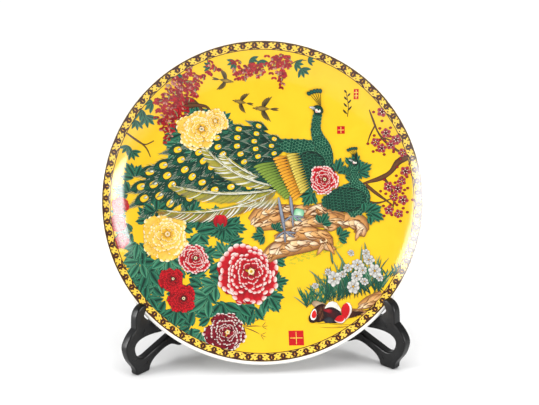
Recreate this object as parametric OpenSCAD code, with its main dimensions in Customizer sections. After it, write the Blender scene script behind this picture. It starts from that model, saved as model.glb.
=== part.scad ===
// Decorated porcelain plate leaning in a folding stand of two hinged brackets.
// Millimetres. Z is up, the plate faces -Y, and X runs to the right as seen from the front.
// The origin is on the floor, in the middle of the width and of the depth.

/* [Plate] */
// Diameter over the rim
plate_d = 260; // [210:2:320]
// Height from the tread of the foot ring to the rim
plate_h = 27; // [24:0.5:33]
// Width of the wall of the dish, from the flat floor out to the rim's edge
wall_run = 48; // [42:0.5:54]
// Steepness of the dish wall where it meets the rim, in degrees
rim_slope = 42; // [36:1:46]
// Radius of the rounded rim
rim_r = 1.5; // [1.2:0.1:1.9]
// Thickness of the porcelain under the flat floor
base_t = 5; // [4:0.5:6]
// How far inside the edge of the flat floor the foot ring begins
foot_inset = 2; // [0:0.5:6]
// Width of the foot ring
foot_w = 5; // [4:0.5:7]

/* [Pose of the plate] */
// How far the plate leans back, in degrees
plate_lean = 20; // [16:1:24]
// Gap between the lowest point of the plate and the floor
floor_gap = 8.4; // [4:0.2:12]
// How far up the rim each notch holds it, in degrees from the lowest point
notch_angle = 44.6; // [42:0.2:50]

/* [Stand] */
// Angle between each bracket and the middle plane when the stand is open, in degrees
half_angle = 45; // [40:1:50]
// Thickness of the moulded brackets
frame_t = 7; // [5.5:0.5:8.5]
// Gap between the two brackets when they are folded together
fold_gap = 0.6; // [0.4:0.1:1.5]
// Height of the horns above the seat of the rim
horn_h = 15.6; // [14:0.2:20]
// Length of each front foot on the floor
front_foot = 14; // [9:0.5:15]
// Length of each rear foot on the floor
rear_foot = 15; // [11:0.5:20]
// Width of the backrest bar, level across it
bar_w = 15; // [11:0.5:18]
// Width of the upright beside the hinge
upright_w = 14; // [11:0.5:17]
// Distance from the hinge axis to the top of the backrest's front edge
top_reach = 36; // [33:1:42]

/* [Hinge] */
// Diameter of the hinge pins
pin_d = 3; // [2.5:0.1:4]
// Wall of plastic round each pin
knuckle_wall = 3; // [2.2:0.1:3.6]
// Height of one knuckle
knuckle_h = 10; // [8:0.5:11]
// Height of the lower hinge above the floor
low_hinge_z = 14; // [10:0.5:18]
// Distance of the upper hinge's foot below the top of the backrest
high_hinge_drop = 48; // [46:0.5:52]
// Diameter of the head of each pin
head_d = 5; // [4.6:0.1:6]
// Thickness of the head of each pin
head_h = 1; // [0.8:0.1:1.6]

/* [Clearances] */
// Gap between the plate and the stand where one rests on the other
rest_gap = 0.35; // [0.3:0.05:0.6]
// Radial clearance of the pins in the knuckles
pin_gap = 0.05; // [0.03:0.01:0.09]
// Gap between one knuckle and the next, and under the head of each pin
knuckle_gap = 0.4; // [0.3:0.05:0.8]
// Gap behind the horns that lets the rim rise out of the notches
lift_gap = 1; // [0.9:0.1:2]

/* [Hidden] */
$fn = 96;
curve_steps = 5;   // points to each stretch of a smooth run
wall_steps = 14;   // points to each arc of the plate's wall
rim_steps = 4;     // points to the shortest arcs of the rounded rim
tread_cut = 0.8;   // flats beside the tread of the foot ring
arm_inset = 0.4;   // the arms stay this far inside the knuckles and the slab
mark_d = 4;        // round ejector marks on the inner faces
mark_depth = 0.25;

// Plate section: radii, and heights n above the tread of the foot ring
plate_r = plate_d / 2;
floor_r = plate_r - wall_run;
foot_r = floor_r - foot_inset;
dish_arc = (plate_r - rim_r - floor_r) / sin(rim_slope) - rim_r;
floor_n = plate_h - (dish_arc + rim_r) * (1 - cos(rim_slope));
back_arc = (plate_r - rim_r - foot_r) / sin(rim_slope) + rim_r;
back_n = plate_h - rim_r - back_arc + (back_arc - rim_r) * cos(rim_slope);

// Until the part is moved to its origin, the lowest point of the rim is at y = 0
centre_y = plate_r * sin(plate_lean);
centre_z = floor_gap + plate_r * cos(plate_lean);
hinge_y = plate_r * (1 - cos(notch_angle)) * sin(plate_lean)
  + plate_r * sin(notch_angle) / tan(half_angle);
knuckle_r = pin_d / 2 + pin_gap + knuckle_wall;
frame_back = knuckle_r + 1;
inner_t = fold_gap / 2;

// Where a point of the plate, at radius rho from its axis and depth d behind its rim, meets
// the plane t outside the middle of the fold: [distance from the hinge, height]
tilt_x = cos(half_angle);
tilt_y = sin(plate_lean) * sin(half_angle);
function turn(rho, d, t) = atan2(tilt_y, tilt_x)
  + asin((t + (hinge_y - centre_y - d * cos(plate_lean)) * sin(half_angle))
    / (rho * norm([tilt_x, tilt_y])));
function on_frame(rho, d, t) = let (
    a = turn(rho, d, t),
    x = rho * sin(a),
    y = centre_y - rho * cos(a) * sin(plate_lean) + d * cos(plate_lean) - hinge_y,
    z = centre_z - rho * cos(a) * cos(plate_lean) - d * sin(plate_lean)
  ) [x * sin(half_angle) - y * cos(half_angle), z];
// The same for the underside of the wall, where it slopes by a degrees, with a gap below it
function under(a, gap) = on_frame(foot_r + back_arc * sin(a),
  plate_h - back_n - back_arc * (1 - cos(a)) + gap / cos(a), inner_t);
// The plane of the foot ring's tread, with the rest gap: distance from the hinge at height z
function back_reach(z) = (hinge_y - (plate_h + rest_gap) / cos(plate_lean)
  - (z - floor_gap) * tan(plate_lean)) / cos(half_angle);
top_z = floor_gap + (hinge_y - (plate_h + rest_gap) / cos(plate_lean)
  - top_reach * cos(half_angle)) / tan(plate_lean);

// Smooth curves through given points: an open run without its last point, and a closed loop
function spline(a, b, c, d, t) = 0.5 * (2 * b + (c - a) * t
  + (2 * a - 5 * b + 4 * c - d) * t * t + (3 * b - a - 3 * c + d) * t * t * t);
function run(p) = [for (i = [0 : len(p) - 2], k = [0 : curve_steps - 1])
  spline(p[max(i - 1, 0)], p[i], p[i + 1], p[min(i + 2, len(p) - 1)], k / curve_steps)];
function loop(p) = let (n = len(p)) [for (i = [0 : n - 1], k = [0 : curve_steps - 1])
  spline(p[(i + n - 1) % n], p[i], p[(i + 1) % n], p[(i + 2) % n], k / curve_steps)];
function arc(c, r, from, to, n) = [for (i = [0 : n])
  c + r * [cos(from + (to - from) * i / n), sin(from + (to - from) * i / n)]];

// Points of a bracket, as [distance from the hinge, height]. The leg takes its heights as a
// share of the height of the seat, and the horn and the cradle are placed from the seat.
seat = on_frame(plate_r, rim_r, inner_t);
rim_out = on_frame(plate_r, rim_r, inner_t + frame_t);
function leg(reach, share) = [seat[0] + reach, seat[1] * share];
function by_seat(reach, rise) = seat + [reach, rise];
foot_front = 16.8;   // from the seat to the front corner of the foot
horn_lean = 0.22;    // how far the horn leans over the rim, to its height
waist = leg(16, 0.95);
rest_start = [back_reach(seat[1] + 20), seat[1] + 20];
rest_top = [top_reach, top_z];
spine_x = frame_back + upright_w;
pitch = knuckle_h + knuckle_gap;
hinge_z = [low_hinge_z, top_z - high_hinge_drop];
function between_hinges(reach, share) = let (low = low_hinge_z + 3 * knuckle_h + 2)
  [frame_back + reach, low + (hinge_z[1] - low) * share];

leg_front = run([leg(foot_front - 1.4, 0), leg(foot_front, 0.035), leg(foot_front + 0.3, 0.11),
  leg(18.8, 0.19), leg(23.6, 0.35), leg(26.4, 0.54), leg(26.2, 0.68), leg(22, 0.83), waist]);
function over_rim(gap, rise) = [rim_out[0] + lift_gap + gap - horn_lean * rise, rim_out[1] + rise];
horn_rise = seat[1] + horn_h - rim_out[1];
horn = run([waist, by_seat(15.6, 5), by_seat(14.8, 9.2), by_seat(12.2, 13.2),
  by_seat(7.8, horn_h), over_rim(1.4, horn_rise - 0.5), over_rim(0.6, horn_rise - 2.2),
  over_rim(1.2, 2.6), over_rim(1.9, -1), by_seat(3, 2.4),
  on_frame(plate_r + rest_gap, rim_r, inner_t)]);
cradle = run([on_frame(plate_r + rest_gap, rim_r, inner_t), under(rim_slope, rest_gap),
  under(36, rest_gap + 0.3), under(30, rest_gap + 1), under(24, rest_gap + 2.6),
  under(18, rest_gap + 5.5), rest_start + [6, -5.5], rest_start + [1.4, -2], rest_start]);
top = run([rest_top, rest_top + [-1, 4.5], rest_top + [-5, 9], rest_top + [-11.5, 11],
  rest_top + [-18, 9], rest_top + [-22.5, 3.5], [frame_back + 4.5, top_z - 6],
  [frame_back + 1.2, top_z - 12], [frame_back, top_z - 17]]);
spine = run([between_hinges(0, 1), between_hinges(2.6, 0.78), between_hinges(2.6, 0.22),
  between_hinges(0, 0)]);
heel = run([[frame_back, low_hinge_z - 1], [frame_back + 0.4, 4], [frame_back + 2, 0.8],
  [frame_back + 3, 0]]);
arm_under = run([[frame_back + rear_foot - 1.2, 0], [frame_back + rear_foot, 1.4],
  [frame_back + rear_foot + 2, 9], [frame_back + rear_foot + 7, 19],
  [frame_back + rear_foot + 17, 27.5], leg(-78, 0.8), leg(-62, 0.81), leg(-48, 0.73),
  leg(-37, 0.61), leg(-30.5, 0.49)]);
spur = run([leg(-30.5, 0.49), leg(-29.6, 0.42), leg(-32.5, 0.34), leg(-34.8, 0.28),
  leg(-33.6, 0.232), leg(-30.5, 0.245), leg(-24, 0.325), leg(-19.5, 0.34),
  leg(-12.8, 0.31), leg(-3.7, 0.217), leg(foot_front - front_foot - 2, 0.12),
  leg(foot_front - front_foot - 0.4, 0.03), leg(foot_front - front_foot + 0.8, 0)]);
outline = concat(leg_front, horn, cradle, [rest_start], top, [[frame_back, top_z - 17]],
  spine, [between_hinges(0, 0)], heel, [[frame_back + 3, 0]],
  arm_under, spur, [leg(foot_front - front_foot + 0.8, 0)]);

leg_window = loop([leg(17.2, 0.57), leg(16.6, 0.47), leg(14.3, 0.38), leg(10.5, 0.325),
  leg(6.3, 0.325), leg(0, 0.375), leg(-10, 0.455), leg(-20, 0.535), leg(-25, 0.585),
  leg(-26.2, 0.63), leg(-24.5, 0.66), leg(-18, 0.67), leg(-10, 0.69), leg(-2.3, 0.715),
  leg(6, 0.72), leg(12, 0.695), leg(15.8, 0.64)]);
function bar_inner(z) = [back_reach(z) - bar_w, z];
rear_window = loop([bar_inner(seat[1] + 21), bar_inner(seat[1] + 13) - [2.6, 0],
  [(bar_inner(seat[1] + 8)[0] + spine_x) / 2 + 8, seat[1] + 6.5],
  [(bar_inner(seat[1] + 8)[0] + spine_x) / 2 - 6, seat[1] + 5.5],
  [spine_x + 4.5, seat[1] + 7.5], [spine_x, seat[1] + 14],
  [spine_x, (seat[1] + top_z) / 2 - 8], [spine_x, top_z - 38], [spine_x + 1, top_z - 31],
  [spine_x + 4.6, top_z - 27], [bar_inner(top_z - 30)[0] - 4, top_z - 26],
  bar_inner(top_z - 33) - [0.6, 0], bar_inner((seat[1] + top_z) / 2)]);

leg_end = max([for (p = outline) p[0]]);
shift_y = (leg_end * cos(half_angle) - inner_t * sin(half_angle) - knuckle_r) / 2 - hinge_y;

// Section of the plate, from its axis over the foot ring, the underside, the rim and the dish
module plate_section() {
  rim = [plate_r - rim_r, plate_h - rim_r];
  polygon(concat(
    [[0, floor_n - base_t], [foot_r - foot_w - tread_cut, floor_n - base_t],
     [foot_r - foot_w, tread_cut], [foot_r - foot_w + tread_cut, 0],
     [foot_r - 2 * tread_cut, 0], [foot_r - tread_cut, tread_cut]],
    arc([foot_r, back_n + back_arc], back_arc, -90, rim_slope - 90, wall_steps),
    arc(rim, rim_r, rim_slope - 90, 0, rim_steps),
    arc(rim, rim_r, 0, 90, 2 * rim_steps),
    arc(rim, rim_r, 90, 90 + rim_slope, rim_steps),
    arc([floor_r, floor_n + dish_arc], dish_arc, rim_slope - 90, -90, wall_steps),
    [[0, floor_n]]));
}

module plate() {
  color([0.98, 0.82, 0.16])
  translate([0, centre_y + shift_y + plate_h * cos(plate_lean), centre_z - plate_h * sin(plate_lean)])
  rotate([90 - plate_lean, 0, 0])
  rotate_extrude($fn = 180) plate_section();
}

// The flat part of the right bracket, in its place beside the hinge axis
module bracket_slab() {
  rotate([0, 0, half_angle - 90]) rotate([90, 0, 0])
  difference() {
    translate([0, 0, -inner_t - frame_t]) linear_extrude(height = frame_t) difference() {
      polygon(outline);
      polygon(leg_window);
      polygon(rear_window);
    }
    for (at = [leg(9, 0.86), leg(6.7, 0.21), by_seat(-62, 0.5)])
      translate([at[0], at[1], -inner_t - mark_depth]) cylinder(d = mark_d, h = 1);
  }
}

// Knuckles of the right bracket, at the given steps above foot, each on its own arm
module knuckles(foot, steps) {
  for (i = steps) translate([0, 0, foot + i * pitch]) {
    cylinder(r = knuckle_r, h = knuckle_h);
    rotate([0, 0, half_angle - 90])
      translate([0, inner_t + arm_inset, arm_inset])
      cube([frame_back + 2, knuckle_r - inner_t - 2 * arm_inset, knuckle_h - 2 * arm_inset]);
  }
}

module bracket(low_steps, high_steps) {
  translate([0, hinge_y + shift_y, 0]) difference() {
    union() {
      bracket_slab();
      knuckles(hinge_z[0], low_steps);
      knuckles(hinge_z[1], high_steps);
    }
    for (z = hinge_z) translate([0, 0, z - 1])
      cylinder(d = pin_d + 2 * pin_gap, h = 3 * pitch + 2);
  }
}

module right_frame() { color([0.07, 0.07, 0.075]) bracket([1], [0, 2]); }
module left_frame() { color([0.07, 0.07, 0.075]) mirror([1, 0, 0]) bracket([0, 2], [1]); }

// A headed steel pin, standing in the three knuckles above the height foot
module hinge_pin(foot) {
  color([0.72, 0.73, 0.75]) translate([0, hinge_y + shift_y, foot]) {
    cylinder(d = pin_d, h = 3 * pitch);
    translate([0, 0, 3 * pitch - knuckle_gap / 2]) cylinder(d = head_d, h = head_h);
  }
}
module lower_hinge_pin() { hinge_pin(hinge_z[0]); }
module upper_hinge_pin() { hinge_pin(hinge_z[1]); }

plate();
left_frame();
right_frame();
lower_hinge_pin();
upper_hinge_pin();
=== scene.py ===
"""A decorated porcelain display plate in a folding black plastic stand, dressed for Cycles.

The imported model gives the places. The plate and the hinge pins are turned here, the two brackets
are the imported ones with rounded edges, and the decoration is laid on the glaze as thin coats of
enamel, one piece to each motif.
"""
import logging
import math
import random
from dataclasses import dataclass, field
from enum import Enum
from typing import Callable, Sequence

import bmesh
import bpy
from mathutils import Matrix, Vector


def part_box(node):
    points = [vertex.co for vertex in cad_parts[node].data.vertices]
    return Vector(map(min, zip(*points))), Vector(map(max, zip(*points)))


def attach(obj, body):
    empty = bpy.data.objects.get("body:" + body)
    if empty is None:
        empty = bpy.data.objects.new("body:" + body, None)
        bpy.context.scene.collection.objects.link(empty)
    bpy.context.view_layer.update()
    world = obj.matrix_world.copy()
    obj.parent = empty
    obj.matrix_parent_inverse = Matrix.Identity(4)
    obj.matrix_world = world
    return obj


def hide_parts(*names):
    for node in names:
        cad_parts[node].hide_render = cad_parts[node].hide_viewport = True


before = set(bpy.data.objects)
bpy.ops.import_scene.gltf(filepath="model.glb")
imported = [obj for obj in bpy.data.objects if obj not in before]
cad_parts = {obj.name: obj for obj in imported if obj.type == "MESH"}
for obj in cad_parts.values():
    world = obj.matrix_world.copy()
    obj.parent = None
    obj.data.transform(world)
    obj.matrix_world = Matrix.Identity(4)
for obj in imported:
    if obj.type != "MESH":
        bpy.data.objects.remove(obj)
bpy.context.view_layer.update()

LOG = logging.getLogger("display_plate")
MM = 0.001
INK = "ink"   # the colour attribute that the enamel reads
WELD = 0.001  # vertices closer than this, in millimetres, are one

Colour = tuple[float, float, float]
Point = tuple[float, float]
Place = Callable[[float, float], Point]
Tint = Callable[[float, float], Colour]


class Body(Enum):
    """The moving bodies of the model."""

    HINGE = "hinge"
    PLATE = "plate"
    LEFT = "left_bracket"
    RIGHT = "right_bracket"


class Stuff(Enum):
    """Names for the materials of the plate, the brackets and the pins."""

    PORCELAIN = "porcelain"
    PLASTIC = "frame_plastic"
    STEEL = "pin_steel"


def tone(red: int, green: int, blue: int) -> Colour:
    """Gives a screen colour, each channel from 0 to 255, as the linear colour that shaders take."""
    return tuple(c / 3294.6 if c <= 10 else ((c / 255 + 0.055) / 1.055) ** 2.4 for c in (red, green, blue))


def mixed(first: Colour, second: Colour, share: float) -> Colour:
    """Gives the colour that lies share of the way from first to second."""
    share = min(max(share, 0.0), 1.0)
    return tuple(a + (b - a) * share for a, b in zip(first, second))


def spun(section: Sequence[Point], turns: int) -> bmesh.types.BMesh:
    """Spins a section, given as distances from the axis and heights, into a smooth body."""
    mesh = bmesh.new()
    corners = [mesh.verts.new((reach, 0, height)) for reach, height in section]
    edges = [mesh.edges.new(pair) for pair in zip(corners, corners[1:])]
    bmesh.ops.spin(mesh, geom=corners + edges, cent=(0, 0, 0), axis=(0, 0, 1), dvec=(0, 0, 0),
                   angle=math.tau, steps=turns, use_merge=True)
    bmesh.ops.remove_doubles(mesh, verts=mesh.verts, dist=WELD)
    bmesh.ops.recalc_face_normals(mesh, faces=mesh.faces)
    for face in mesh.faces:
        face.smooth = True
    return mesh


def path_length(points: Sequence[Point]) -> float:
    """Gives the length of the straight runs between points."""
    return sum(math.dist(a, b) for a, b in zip(points, points[1:]))


def width_at(widths: Sequence[float], along: float) -> float:
    """Gives the width at along, from 0 to 1, between evenly spaced widths."""
    step = along * (len(widths) - 1)
    first = min(int(step), len(widths) - 2)
    return widths[first] + (widths[first + 1] - widths[first]) * (step - first)


def finished(name: str, mesh: bmesh.types.BMesh, materials: Sequence[bpy.types.Material],
             body: Body) -> bpy.types.Object:
    """Turns a bmesh, in metres in the frame, into a piece of the scene.

    Args:
        name: the piece's name.
        mesh: its shape, which is freed here.
        materials: its materials, in the order of the faces' material indices.
        body: the body it rides on.

    Returns:
        The new object.
    """
    data = bpy.data.meshes.new(name)
    mesh.to_mesh(data)
    mesh.free()
    for material in materials:
        data.materials.append(material)
    piece = bpy.data.objects.new(name, data)
    bpy.context.scene.collection.objects.link(piece)
    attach(piece, body.value)
    LOG.info("%s: %d faces", name, len(data.polygons))
    return piece


# ---------------------------------------------------------------- finishes

class Recipe:
    """A node material in the making: its shader and the nodes that feed it."""

    def __init__(self, name: str) -> None:
        """Starts a material with a Principled shader that reads Object coordinates."""
        self.material = bpy.data.materials.new(name)
        self.material.use_nodes = True
        self.tree = self.material.node_tree
        self.shader = self.tree.nodes["Principled BSDF"]
        self.coordinates = self.tree.nodes.new("ShaderNodeTexCoord").outputs["Object"]

    def fix(self, **values: float) -> None:
        """Sets plain numbers on the shader's own sockets, with _ for the blanks in their names."""
        for key, value in values.items():
            self.shader.inputs[key.replace("_", " ")].default_value = value

    def feed(self, socket: str, source: bpy.types.NodeSocket) -> None:
        """Links a source to one of the shader's sockets."""
        self.tree.links.new(source, self.shader.inputs[socket])

    def noise(self, scale: float, detail: float = 2.0, twist: float = 0.0,
              stretch: tuple[float, float, float] = (1, 1, 1)) -> bpy.types.NodeSocket:
        """Gives cloudy noise.

        Args:
            scale: waves to the metre.
            detail: octaves of finer noise.
            twist: how far the noise distorts itself.
            stretch: factors on the three axes, below 1 where the pattern is drawn out.

        Returns:
            The noise, from 0 to 1.
        """
        mapping = self.tree.nodes.new("ShaderNodeMapping")
        mapping.inputs["Scale"].default_value = stretch
        self.tree.links.new(self.coordinates, mapping.inputs["Vector"])
        cloud = self.tree.nodes.new("ShaderNodeTexNoise")
        cloud.inputs["Scale"].default_value = scale
        cloud.inputs["Detail"].default_value = detail
        cloud.inputs["Distortion"].default_value = twist
        self.tree.links.new(mapping.outputs["Vector"], cloud.inputs["Vector"])
        return cloud.outputs["Fac"]

    def spread(self, source: bpy.types.NodeSocket, low: float, high: float,
               start: float = 0.3, end: float = 0.7) -> bpy.types.NodeSocket:
        """Maps a source from the range start to end onto the range low to high."""
        ranged = self.tree.nodes.new("ShaderNodeMapRange")
        for key, value in (("From Min", start), ("From Max", end), ("To Min", low), ("To Max", high)):
            ranged.inputs[key].default_value = value
        self.tree.links.new(source, ranged.inputs["Value"])
        return ranged.outputs["Result"]

    def blend(self, share: bpy.types.NodeSocket, first: Colour, second: Colour) -> bpy.types.NodeSocket:
        """Gives a colour that runs from first to second with share."""
        mix = self.tree.nodes.new("ShaderNodeMix")
        mix.data_type = "RGBA"
        sockets = [s for s in mix.inputs if s.type == "RGBA"]
        for socket, colour in zip(sockets, (first, second)):
            socket.default_value = (*colour, 1)
        self.tree.links.new(share, mix.inputs[0])
        return next(s for s in mix.outputs if s.type == "RGBA")

    def ink(self, shade: bpy.types.NodeSocket) -> bpy.types.NodeSocket:
        """Gives the mesh's own ink colour, scaled by shade."""
        attribute = self.tree.nodes.new("ShaderNodeAttribute")
        attribute.attribute_name = INK
        scaled = self.tree.nodes.new("ShaderNodeVectorMath")
        scaled.operation = "SCALE"
        self.tree.links.new(attribute.outputs["Color"], scaled.inputs[0])
        self.tree.links.new(shade, scaled.inputs["Scale"])
        return scaled.outputs["Vector"]

    def bump(self, height: bpy.types.NodeSocket, strength: float, depth: float) -> None:
        """Roughens the surface by height, over a depth in metres."""
        node = self.tree.nodes.new("ShaderNodeBump")
        node.inputs["Strength"].default_value = strength
        node.inputs["Distance"].default_value = depth
        self.tree.links.new(height, node.inputs["Height"])
        self.feed("Normal", node.outputs["Normal"])


@dataclass(frozen=True)
class Glaze:
    """Clear fired glaze over one body colour, with slow swells and faint cloudiness."""

    name: str
    colour: Colour
    deep: Colour
    gloss: float = 0.1

    def material(self) -> bpy.types.Material:
        """Builds the node material of this glaze."""
        recipe = Recipe(self.name)
        cloud = recipe.noise(45, 4, twist=0.5)
        recipe.feed("Base Color", recipe.blend(recipe.spread(cloud, 0, 1), self.colour, self.deep))
        recipe.feed("Roughness", recipe.spread(cloud, self.gloss, self.gloss * 1.3))
        recipe.bump(recipe.noise(75), 0.05, 0.0015)
        recipe.fix(IOR=1.52)
        return recipe.material


@dataclass(frozen=True)
class Enamelled:
    """Opaque painted enamel under clear glaze: it takes its colours from the mesh's ink."""

    name: str = "painted_enamel"
    gloss: float = 0.1

    def material(self) -> bpy.types.Material:
        """Builds the node material of the painted shapes."""
        recipe = Recipe(self.name)
        cloud = recipe.noise(420, 4, twist=0.4)
        recipe.feed("Base Color", recipe.ink(recipe.spread(cloud, 0.86, 1.1)))
        recipe.feed("Roughness", recipe.spread(cloud, self.gloss, self.gloss * 1.3))
        recipe.bump(recipe.noise(75), 0.05, 0.0015)
        recipe.fix(IOR=1.52)
        return recipe.material


@dataclass(frozen=True)
class BareClay:
    """Unglazed fired clay on the tread of the foot ring: matt, grainy, faintly warm."""

    name: str = "bare_clay"
    colour: Colour = tone(228, 220, 205)
    stain: Colour = tone(190, 176, 154)

    def material(self) -> bpy.types.Material:
        """Builds the node material of the bare tread."""
        recipe = Recipe(self.name)
        grain = recipe.noise(2200, 4)
        recipe.feed("Base Color", recipe.blend(recipe.spread(recipe.noise(90, 5), 0, 1), self.colour,
                                               self.stain))
        recipe.feed("Roughness", recipe.spread(grain, 0.7, 0.95))
        recipe.bump(grain, 0.5, 0.0002)
        return recipe.material


@dataclass(frozen=True)
class BlackMoulding:
    """Satin black polystyrene with the fine texture of its mould and faint flow clouds."""

    name: str = "black_moulding"
    colour: Colour = tone(10, 10, 11)
    worn: Colour = tone(20, 20, 21)

    def material(self) -> bpy.types.Material:
        """Builds the node material of the brackets."""
        recipe = Recipe(self.name)
        flow = recipe.noise(110, 5, twist=0.8)
        grain = recipe.noise(1500, 3)
        recipe.feed("Base Color", recipe.blend(recipe.spread(flow, 0, 1, 0.35, 0.8), self.colour, self.worn))
        recipe.feed("Roughness", recipe.spread(flow, 0.26, 0.4))
        recipe.bump(grain, 0.22, 0.0002)
        recipe.fix(IOR=1.36)
        return recipe.material


@dataclass(frozen=True)
class DrawnSteel:
    """Bright drawn wire with fine lines along its length and a little tarnish."""

    name: str = "drawn_steel"
    colour: Colour = tone(205, 206, 208)
    tarnish: Colour = tone(150, 146, 140)

    def material(self) -> bpy.types.Material:
        """Builds the node material of the hinge pins."""
        recipe = Recipe(self.name)
        lines = recipe.noise(5000, 2, stretch=(1, 1, 0.02))
        recipe.feed("Base Color", recipe.blend(recipe.spread(recipe.noise(300, 4), 0, 1, 0.4, 0.9),
                                               self.colour, self.tarnish))
        recipe.feed("Roughness", recipe.spread(lines, 0.18, 0.4))
        recipe.bump(lines, 0.15, 0.00005)
        recipe.fix(Metallic=1.0)
        return recipe.material


# ---------------------------------------------------------------- the plate

@dataclass
class Porcelain:
    """The white body of the plate, its yellow ground and its bare tread.

    Sizes are in millimetres. The section is drawn as distances from the plate's axis and heights
    above the tread; points of the face are given as (across, up) from its middle.
    """

    radius: float = 130.0
    height: float = 27.0
    wall_run: float = 48.0
    foot_inset: float = 2.0
    foot_width: float = 5.0
    wall_slope: float = math.radians(42)
    rim: float = 1.5
    base: float = 5.0
    cut: float = 0.8
    fillet: float = 1.4
    ground_edge: float = 127.4
    lean: float = math.radians(20)
    turns: int = 256

    def __post_init__(self) -> None:
        """Works out the arcs of the section and the plate's place in the frame."""
        self.floor = self.radius - self.wall_run
        self.foot = self.floor - self.foot_inset
        sine, cosine = math.sin(self.wall_slope), math.cos(self.wall_slope)
        self.dish_arc = (self.wall_run - self.rim) / sine - self.rim
        self.floor_height = self.height - (self.dish_arc + self.rim) * (1 - cosine)
        self.back_arc = (self.radius - self.rim - self.foot) / sine + self.rim
        self.back_height = self.height - self.rim - self.back_arc + (self.back_arc - self.rim) * cosine
        low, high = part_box("plate")
        up = Vector((0, math.sin(self.lean), math.cos(self.lean)))
        out = Vector((0, -math.cos(self.lean), math.sin(self.lean)))
        # the extreme points of the rim's round, at the bottom and at the top of the leaning plate
        ring = self.radius - self.rim
        front = low.y / MM + self.rim + ring * up.y
        top = high.z / MM - self.rim - ring * up.z
        middle = Vector(((low.x + high.x) / 2 / MM, front, top))
        tread = middle - out * (self.height - self.rim)
        turn = Matrix((Vector((1, 0, 0)), up, out)).transposed().to_4x4()
        self.place = Matrix.Scale(MM, 4) @ Matrix.Translation(tread) @ turn

    def face_height(self, distance: float) -> float:
        """Gives the height of the face above the tread, at a distance from the axis."""
        run = min(max(distance - self.floor, 0), self.dish_arc * math.sin(self.wall_slope))
        return self.floor_height + self.dish_arc - math.sqrt(self.dish_arc ** 2 - run ** 2)

    def face_normal(self, across: float, up: float) -> Vector:
        """Gives the outward normal of the face over a point, in plate axes."""
        distance = math.hypot(across, up)
        run = min(distance - self.floor, self.dish_arc * math.sin(self.wall_slope))
        if run <= 0:
            return Vector((0, 0, 1))
        lean = run / self.dish_arc / distance
        return Vector((-across * lean, -up * lean, math.sqrt(1 - (run / self.dish_arc) ** 2)))

    def section(self) -> list[Point]:
        """Gives the section's points, from the axis over the foot ring and the rim to the axis again."""
        def arc(middle: Point, radius: float, start: float, end: float, steps: int) -> list[Point]:
            """Gives points along an arc, whose angles are from the downward axis."""
            return [(middle[0] + radius * math.sin(start + (end - start) * i / steps),
                     middle[1] - radius * math.cos(start + (end - start) * i / steps))
                    for i in range(steps + 1)]
        quarter = math.pi / 2
        underside = self.floor_height - self.base
        inner = self.foot - self.foot_width
        ring = (self.radius - self.rim, self.height - self.rim)
        wall_top = math.asin((self.ground_edge - self.floor) / self.dish_arc)
        return [
            (0, underside), (inner * 0.5, underside),
            *arc((inner - 2.2, underside - self.fillet), self.fillet, 2 * quarter, quarter, 5),
            *arc((inner + self.cut, self.cut), self.cut, -quarter, 0, 4),
            *arc((self.foot - 2 * self.cut, self.cut), self.cut, 0, quarter * 0.8, 4),
            *arc((self.foot, self.back_height + self.back_arc), self.back_arc, 0.02, self.wall_slope, 22),
            *arc(ring, self.rim, self.wall_slope + 0.12, 2 * quarter + self.wall_slope - 0.12, 14),
            *arc((self.floor, self.floor_height + self.dish_arc), self.dish_arc, wall_top, 0, 26),
            (self.floor * 0.75, self.floor_height), (self.floor * 0.5, self.floor_height),
            (self.floor * 0.25, self.floor_height), (0, self.floor_height)]

    def build(self) -> bpy.types.Object:
        """Spins the section into the plate, colours its ground and its tread, and places it."""
        mesh = spun(self.section(), self.turns)
        for face in mesh.faces:
            middle = face.calc_center_median()
            distance = math.hypot(middle.x, middle.y)
            on_face = face.normal.z > 0 and distance < self.ground_edge
            on_tread = middle.z < 0.5 and self.foot - self.foot_width < distance < self.foot
            face.material_index = 1 if on_face else 2 if on_tread else 0
        mesh.transform(self.place)
        white = Glaze("white_glaze", tone(246, 244, 240), tone(238, 236, 230)).material()
        yellow = Glaze("yellow_ground", tone(246, 200, 34), tone(243, 193, 28)).material()
        piece = finished("plate_body", mesh, [white, yellow, BareClay().material()],
                         Body.PLATE)
        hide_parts("plate")
        return piece


# ---------------------------------------------------------------- the painter's brush

LINE = tone(34, 24, 20)
SOOT = tone(20, 22, 20)
PINE = tone(14, 62, 48)
LEAF = tone(38, 112, 84)
MIST = tone(120, 168, 132)
OLIVE = tone(140, 140, 42)
CREAM = tone(252, 244, 214)
CHALK = tone(244, 244, 236)
HONEY = tone(244, 186, 48)
AMBER = tone(216, 138, 24)
CRIMSON = tone(196, 16, 30)
WINE = tone(104, 10, 24)
BLUSH = tone(250, 214, 212)
BARK = tone(104, 66, 38)
STONE = tone(128, 134, 138)


@dataclass(frozen=True)
class Wash:
    """The colours of one stroke: from root to tip, towards its sides, and along its vein."""

    root: Colour
    tip: Colour
    side: Colour | None = None
    vein: Colour | None = None
    line: Colour | None = LINE
    reach: float = 2.0

    def at(self, along: float, across: float) -> Colour:
        """Gives the colour at along, from 0 to 1, and across, from -1 to 1."""
        colour = mixed(self.root, self.tip, along)
        if self.side is not None:
            colour = mixed(colour, self.side, abs(across) ** self.reach)
        if self.vein is not None and abs(across) < 0.1:
            colour = self.vein
        return colour


def unlined(root: Colour, tip: Colour) -> Wash:
    """Gives the wash of a stroke that has no outline."""
    return Wash(root, tip, line=None)


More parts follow.
